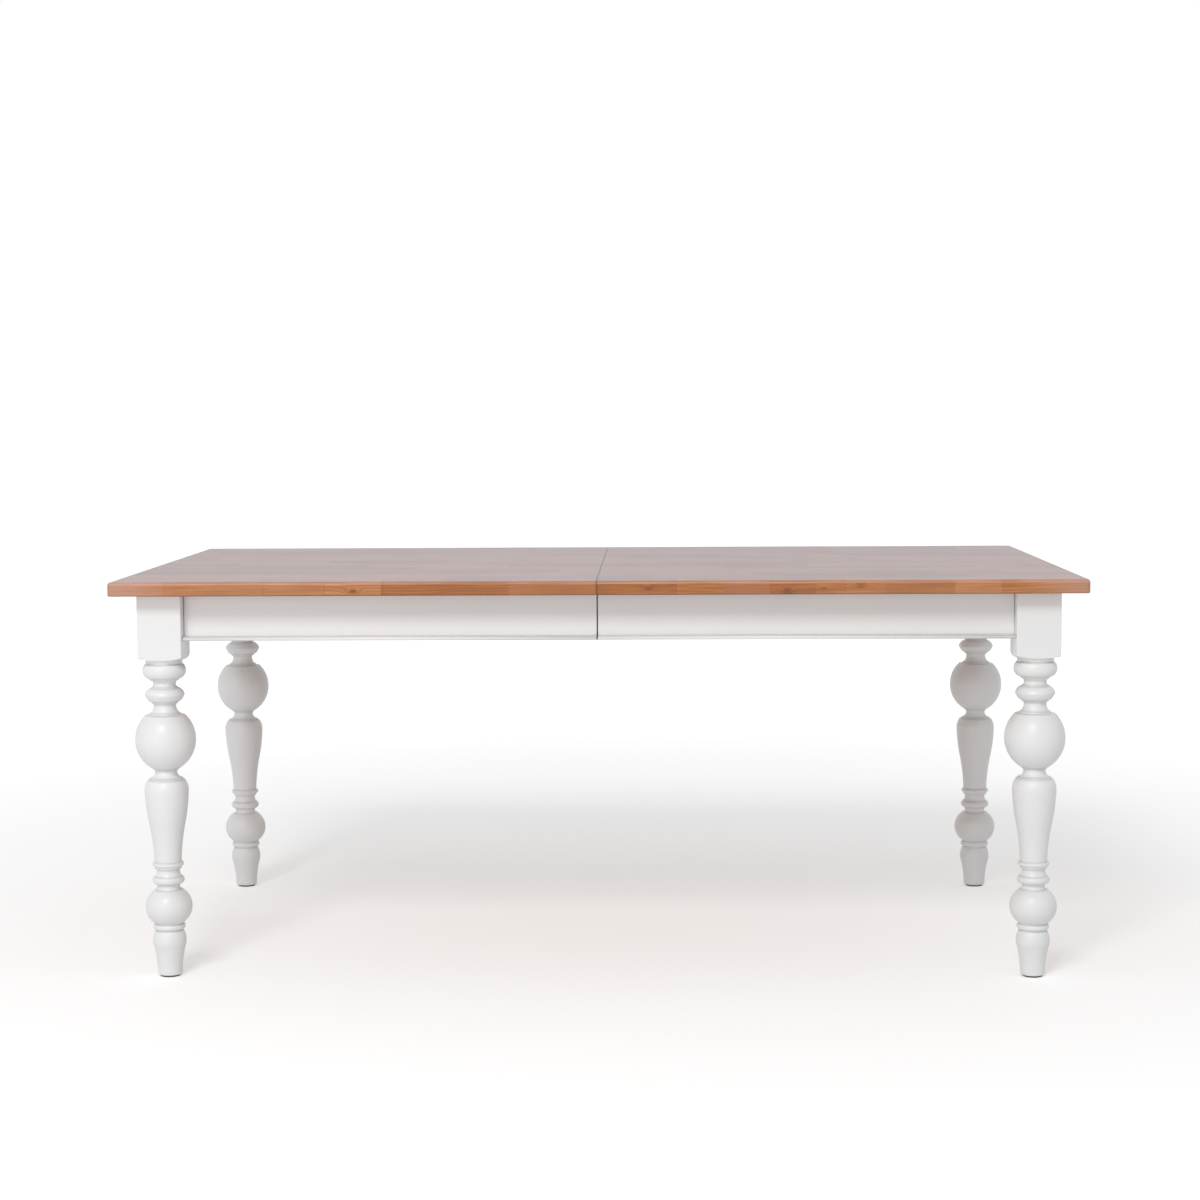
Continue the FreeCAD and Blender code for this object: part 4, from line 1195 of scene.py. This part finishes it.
def bent_strip():
    """A bracket whose bend lies along Y, with one leg down and the other along X."""
    shape = bmesh.new()
    side = -bracket_width / 2
    vert = shape.verts.new((0.0, side, -bracket_leg))
    vert = draw_straight(shape, vert, Vector((0.0, side, -bend_radius)))
    middle = bend_radius * round_middle
    bulge, end = Vector((middle, side, -middle)), Vector((bend_radius, side, 0.0))
    vert = draw_arc(shape, vert, bulge, end, steps=5)
    draw_straight(shape, vert, Vector((bracket_leg, side, 0.0)))
    sheet = bmesh.ops.extrude_edge_only(shape, edges=shape.edges[:])["geom"]
    bmesh.ops.translate(shape, verts=only(BMVert, sheet), vec=(0.0, bracket_width, 0.0))
    bmesh.ops.recalc_face_normals(shape, faces=shape.faces[:])
    outermost = max(shape.faces, key=lambda face: face.calc_center_median().x)
    thickness = bracket_plate if outermost.normal.z > 0 else -bracket_plate
    bmesh.ops.solidify(shape, geom=shape.faces[:], thickness=thickness)
    ends = [edge for edge in shape.edges if near(edge.calc_length(), bracket_plate)
            and (near(edge.verts[0].co.z, -bracket_leg) or near(edge.verts[0].co.x, bracket_leg))]
    soften(shape, ends, bracket_corner, segments=4)
    return shape


def bent_bracket(points):
    low, high = box_of(points)
    middle = (low + high) / 2
    axis = 0 if near(high.y - low.y, bracket_width) else 1
    inward = unit(axis) * -math.copysign(1.0, middle[axis])
    bend = middle - inward * (bracket_leg / 2)
    turn = Matrix((inward, unit(2).cross(inward), unit(2))).transposed().to_4x4()
    return bent_strip(), Matrix.Translation((bend.x, bend.y, high.z)) @ turn


for side in ("left", "right"):
    remake_parts("bent", side + "_top_brackets", plated_steel, bent_bracket)

# %% Screws with a cross recess
head_outline = ((0.62, 0.0), (0.80, -0.10), (0.93, -0.34), (1.0, -0.70), (1.0, -1.0))
head_steps = 16
# The recess, in shares of the head's radius, but its depth in a share of the head's height
recess_reach = 0.50
recess_half_width = 0.11
recess_inner = 0.1375
recess_floor = 0.62
recess_depth = 0.45
recess_margin = 0.04
arm_tip_angle = math.radians(20)


def cross_screw(head_radius, head_height, shank_radius, length):
    """A screw along Z: the top of its head is at 0, and its tip is below."""
    points = [(head_radius * x, head_height * z) for x, z in head_outline]
    tip = -length + shank_radius * 2
    points += [(shank_radius, -head_height), (shank_radius, tip), (0.0, -length)]
    shape = turn_on_lathe(points, head_steps)
    turn = Matrix.Rotation(math.pi / head_steps, 3, "Z")
    bmesh.ops.rotate(shape, verts=shape.verts[:], cent=(0, 0, 0), matrix=turn)
    rim = [edge for edge in shape.edges if edge.is_boundary]
    top = bmesh.ops.contextual_create(shape, geom=rim)["faces"]
    bmesh.ops.inset_region(shape, faces=top, thickness=head_radius * recess_margin)
    top = top[0]
    for vert in top.verts:
        angle = math.atan2(vert.co.y, vert.co.x)
        arm = round(angle / (math.pi / 2)) * math.pi / 2
        side = math.copysign(recess_half_width, angle - arm)
        reach = recess_reach if abs(angle - arm) < arm_tip_angle else recess_inner
        corner = Vector((reach, side, 0.0)) * head_radius
        corner.rotate(Matrix.Rotation(arm, 3, "Z"))
        vert.co = Vector((corner.x, corner.y, vert.co.z))
    pit = bmesh.ops.extrude_discrete_faces(shape, faces=[top])["faces"]
    for vert in pit[0].verts:
        vert.co = Vector((vert.co.x * recess_floor, vert.co.y * recess_floor,
                          -head_height * recess_depth))
    return shape


# %% Screws of each node
# Radius and height of the head, and radius of the shank
small_screw = (4.0 * mm, 2.5 * mm, 2.0 * mm)
slide_screw = (5.0 * mm, 3.0 * mm, 2.5 * mm)
button_screw = (6.0 * mm, 3.0 * mm, 2.5 * mm)


def crossed_screws(node, sizes):
    def crossed_screw(points):
        low, high = box_of(points)
        axis = longest_axis(high - low)
        middle = (low + high) / 2
        spread = {end: max((point - middle).cross(unit(axis)).length
                           for point in points if near(point[axis], end))
                  for end in (low[axis], high[axis])}
        head_end = max(spread, key=spread.get)
        outward = unit(axis) * math.copysign(1.0, head_end - middle[axis])
        middle[axis] = head_end
        return cross_screw(*sizes, (high - low)[axis]), facing(outward, middle)

    remake_parts("crossed", node, plated_steel, crossed_screw)


for side in ("left", "right"):
    crossed_screws(side + "_small_screws", small_screw)
    crossed_screws(side + "_slide_screws", slide_screw)
crossed_screws("leaf_button_screws", button_screw)

# %% Dowels
dowel_chamfer = 1.2 * mm
dowel_steps = 32


def chamfered_dowel(points):
    low, high = box_of(points)
    axis = longest_axis(high - low)
    half = (high - low)[axis] / 2
    radius = min(high - low) / 2
    end = radius - dowel_chamfer
    outline = ((0.0, half), (end, half), (radius, half - dowel_chamfer),
               (radius, dowel_chamfer - half), (end, -half), (0.0, -half))
    return turn_on_lathe(outline, dowel_steps), facing(unit(axis), (low + high) / 2)


for node in ("seam_pins", "leaf_pins"):
    remake_parts("chamfered", node, beech_along, chamfered_dowel)

# %% Glides
rim_round = 1.0 * mm
nail_radius = 2.0 * mm
glide_steps = 48
glide_crisp_angle = math.radians(50)


def round_glide(points):
    low, high = box_of(points)
    radius = (high.x - low.x) / 2
    lean = rim_round * round_middle
    outline = ((0.0, 0.0), (radius - rim_round, 0.0), (radius - lean, lean), (radius, rim_round),
               (radius, foot_height), (nail_radius, foot_height), (nail_radius, high.z),
               (0.0, high.z))
    middle = (low + high) / 2
    return turn_on_lathe(outline, glide_steps), Matrix.Translation((middle.x, middle.y, 0.0))


for side in ("left", "right"):
    remake_parts("round", side + "_foot_glides", dark_plastic, round_glide,
                 glide_crisp_angle)

# %% [markdown]
# ## Finishes of the solids that stay
#
# The bolts and the pins of the slides have the right shape already, and so has every solid that a
# piece stands for. Each one only takes the finish of its material.

# %% Finishes by material slot
across_beech = ("cross_rail", "corner_blocks", "leaf_button")
slot_of = {part["node"]: part["material_slot"] for part in frame["record"]["subparts"]}
finish_of = {
    "oiled_top_wood": top_wood,
    "white_paint": long_paint,
    "zinc_steel": plated_steel,
    "grey_nylon": grey_nylon,
    "dark_glide": dark_plastic,
}
for node, solid in frame["nodes"].items():
    slot_name = slot_of[node]
    if slot_name == "plain_beech":
        finish = beech_across if node.endswith(across_beech) else beech_along
    else:
        finish = finish_of[slot_name]
    for material_slot in solid.material_slots:
        material_slot.material = finish
print("finishes given to", len(frame["nodes"]), "solids")

# %% [markdown]
# ## Floor, light and camera
#
# The table stands on a plain pale floor in front of white. The floor keeps the soft shadow of the
# table. A large soft lamp in front and to the left does the modelling, and an even pale sky fills
# the rest, so that colours come out about as they are written.

# %% Floor and sky
white_level = 1.0
sky_level = 0.50
floor_near = 1.0
floor_far = 5.0
floor_lift = 0.33
floor_lift_far = 0.66
floor_reach = 30.0
floor_colour = rgb(0.90, 0.90, 0.90)
white = rgb(1.0, 1.0, 1.0)


def seen_directly(nodes, links):
    """1 for rays that show the background as it is: straight, off gloss or through glass."""
    path = nodes.new("ShaderNodeLightPath")
    total = path.outputs["Is Camera Ray"]
    for ray in ("Is Glossy Ray", "Is Transmission Ray"):
        step = nodes.new("ShaderNodeMath")
        step.operation = "MAXIMUM"
        links.new(total, step.inputs[0])
        links.new(path.outputs[ray], step.inputs[1])
        total = step.outputs[0]
    return total


def make_floor():
    shape = bmesh.new()
    bmesh.ops.create_grid(shape, x_segments=2, y_segments=2, size=floor_reach)
    mesh = mesh_of(shape, "floor")
    floor = in_scene("floor", mesh)
    cover = Finish("pale_floor", Roughness=0.9, Specular_IOR_Level=0.0)
    cover.join(cover.shader, {"Base Color": floor_colour, "Emission Color": white})
    direct = Reading(cover, seen_directly(cover.nodes, cover.links))
    x, y = cover.place()[:2]
    distance = cover.one("SQRT", x * x + y * y)
    far = ramp_up(cover, distance, floor_near, floor_far, floor_lift, floor_lift_far, "SMOOTHSTEP")
    cover.join(cover.shader, {"Emission Strength": direct * far})
    mesh.materials.append(cover.material)


def make_sky():
    world = bpy.data.worlds.new("sky")
    world.use_nodes = True
    bpy.context.scene.world = world
    nodes, links = world.node_tree.nodes, world.node_tree.links
    nodes.clear()
    mix = nodes.new("ShaderNodeMixShader")
    links.new(seen_directly(nodes, links), mix.inputs[0])
    for socket, level in ((1, sky_level), (2, white_level)):
        light = nodes.new("ShaderNodeBackground")
        light.inputs["Color"].default_value = white
        light.inputs["Strength"].default_value = level
        links.new(light.outputs[0], mix.inputs[socket])
    output = nodes.new("ShaderNodeOutputWorld")
    links.new(mix.outputs[0], output.inputs[0])


make_floor()
make_sky()
print("floor and sky made, sky level", sky_level)

# %% Lamps
lamp_target = (0.0, -0.3, 0.5)


def soft_lamp(name, place, width, height, power):
    lamp = bpy.data.lights.new(name, "AREA")
    lamp.shape = "RECTANGLE"
    lamp.size = width
    lamp.size_y = height
    lamp.energy = power
    holder = in_scene(name, lamp)
    direction = Vector(lamp_target) - Vector(place)
    turn = direction.to_track_quat("-Z", "Y").to_matrix().to_4x4()
    holder.matrix_world = Matrix.Translation(place) @ turn
    print(name, "at", place, "gives", round(power / (math.pi * direction.length) ** 2, 3))


soft_lamp("key", (-1.6, -6.4, 5.4), 2.6, 2.0, 216.0)
soft_lamp("fill", (-2.6, -5.6, 1.2), 2.6, 1.8, 32.0)

# %% Camera
# It stands right of the middle of the table, a little above its top, and looks slightly down.
camera_place = (0.1179, -4.8487, 1.0849)
camera_yaw = math.radians(-1.462)
camera_pitch = math.radians(4.832)
camera_roll = math.radians(-0.319)
camera_lens = 71.68
sensor_width = 36.0


def make_camera():
    data = bpy.data.cameras.new("camera")
    data.sensor_width = sensor_width
    data.lens = camera_lens
    data.clip_end = 100.0
    camera = in_scene("camera", data)
    camera.matrix_world = (
        Matrix.Translation(camera_place)
        @ Matrix.Rotation(-camera_yaw, 4, "Z")
        @ Matrix.Rotation(math.pi / 2 - camera_pitch, 4, "X")
        @ Matrix.Rotation(camera_roll, 4, "Z")
    )
    bpy.context.scene.camera = camera
    print("camera at", camera_place, "with a lens of", camera_lens, "mm")


make_camera()
bpy.context.scene.view_settings.view_transform = "Standard"
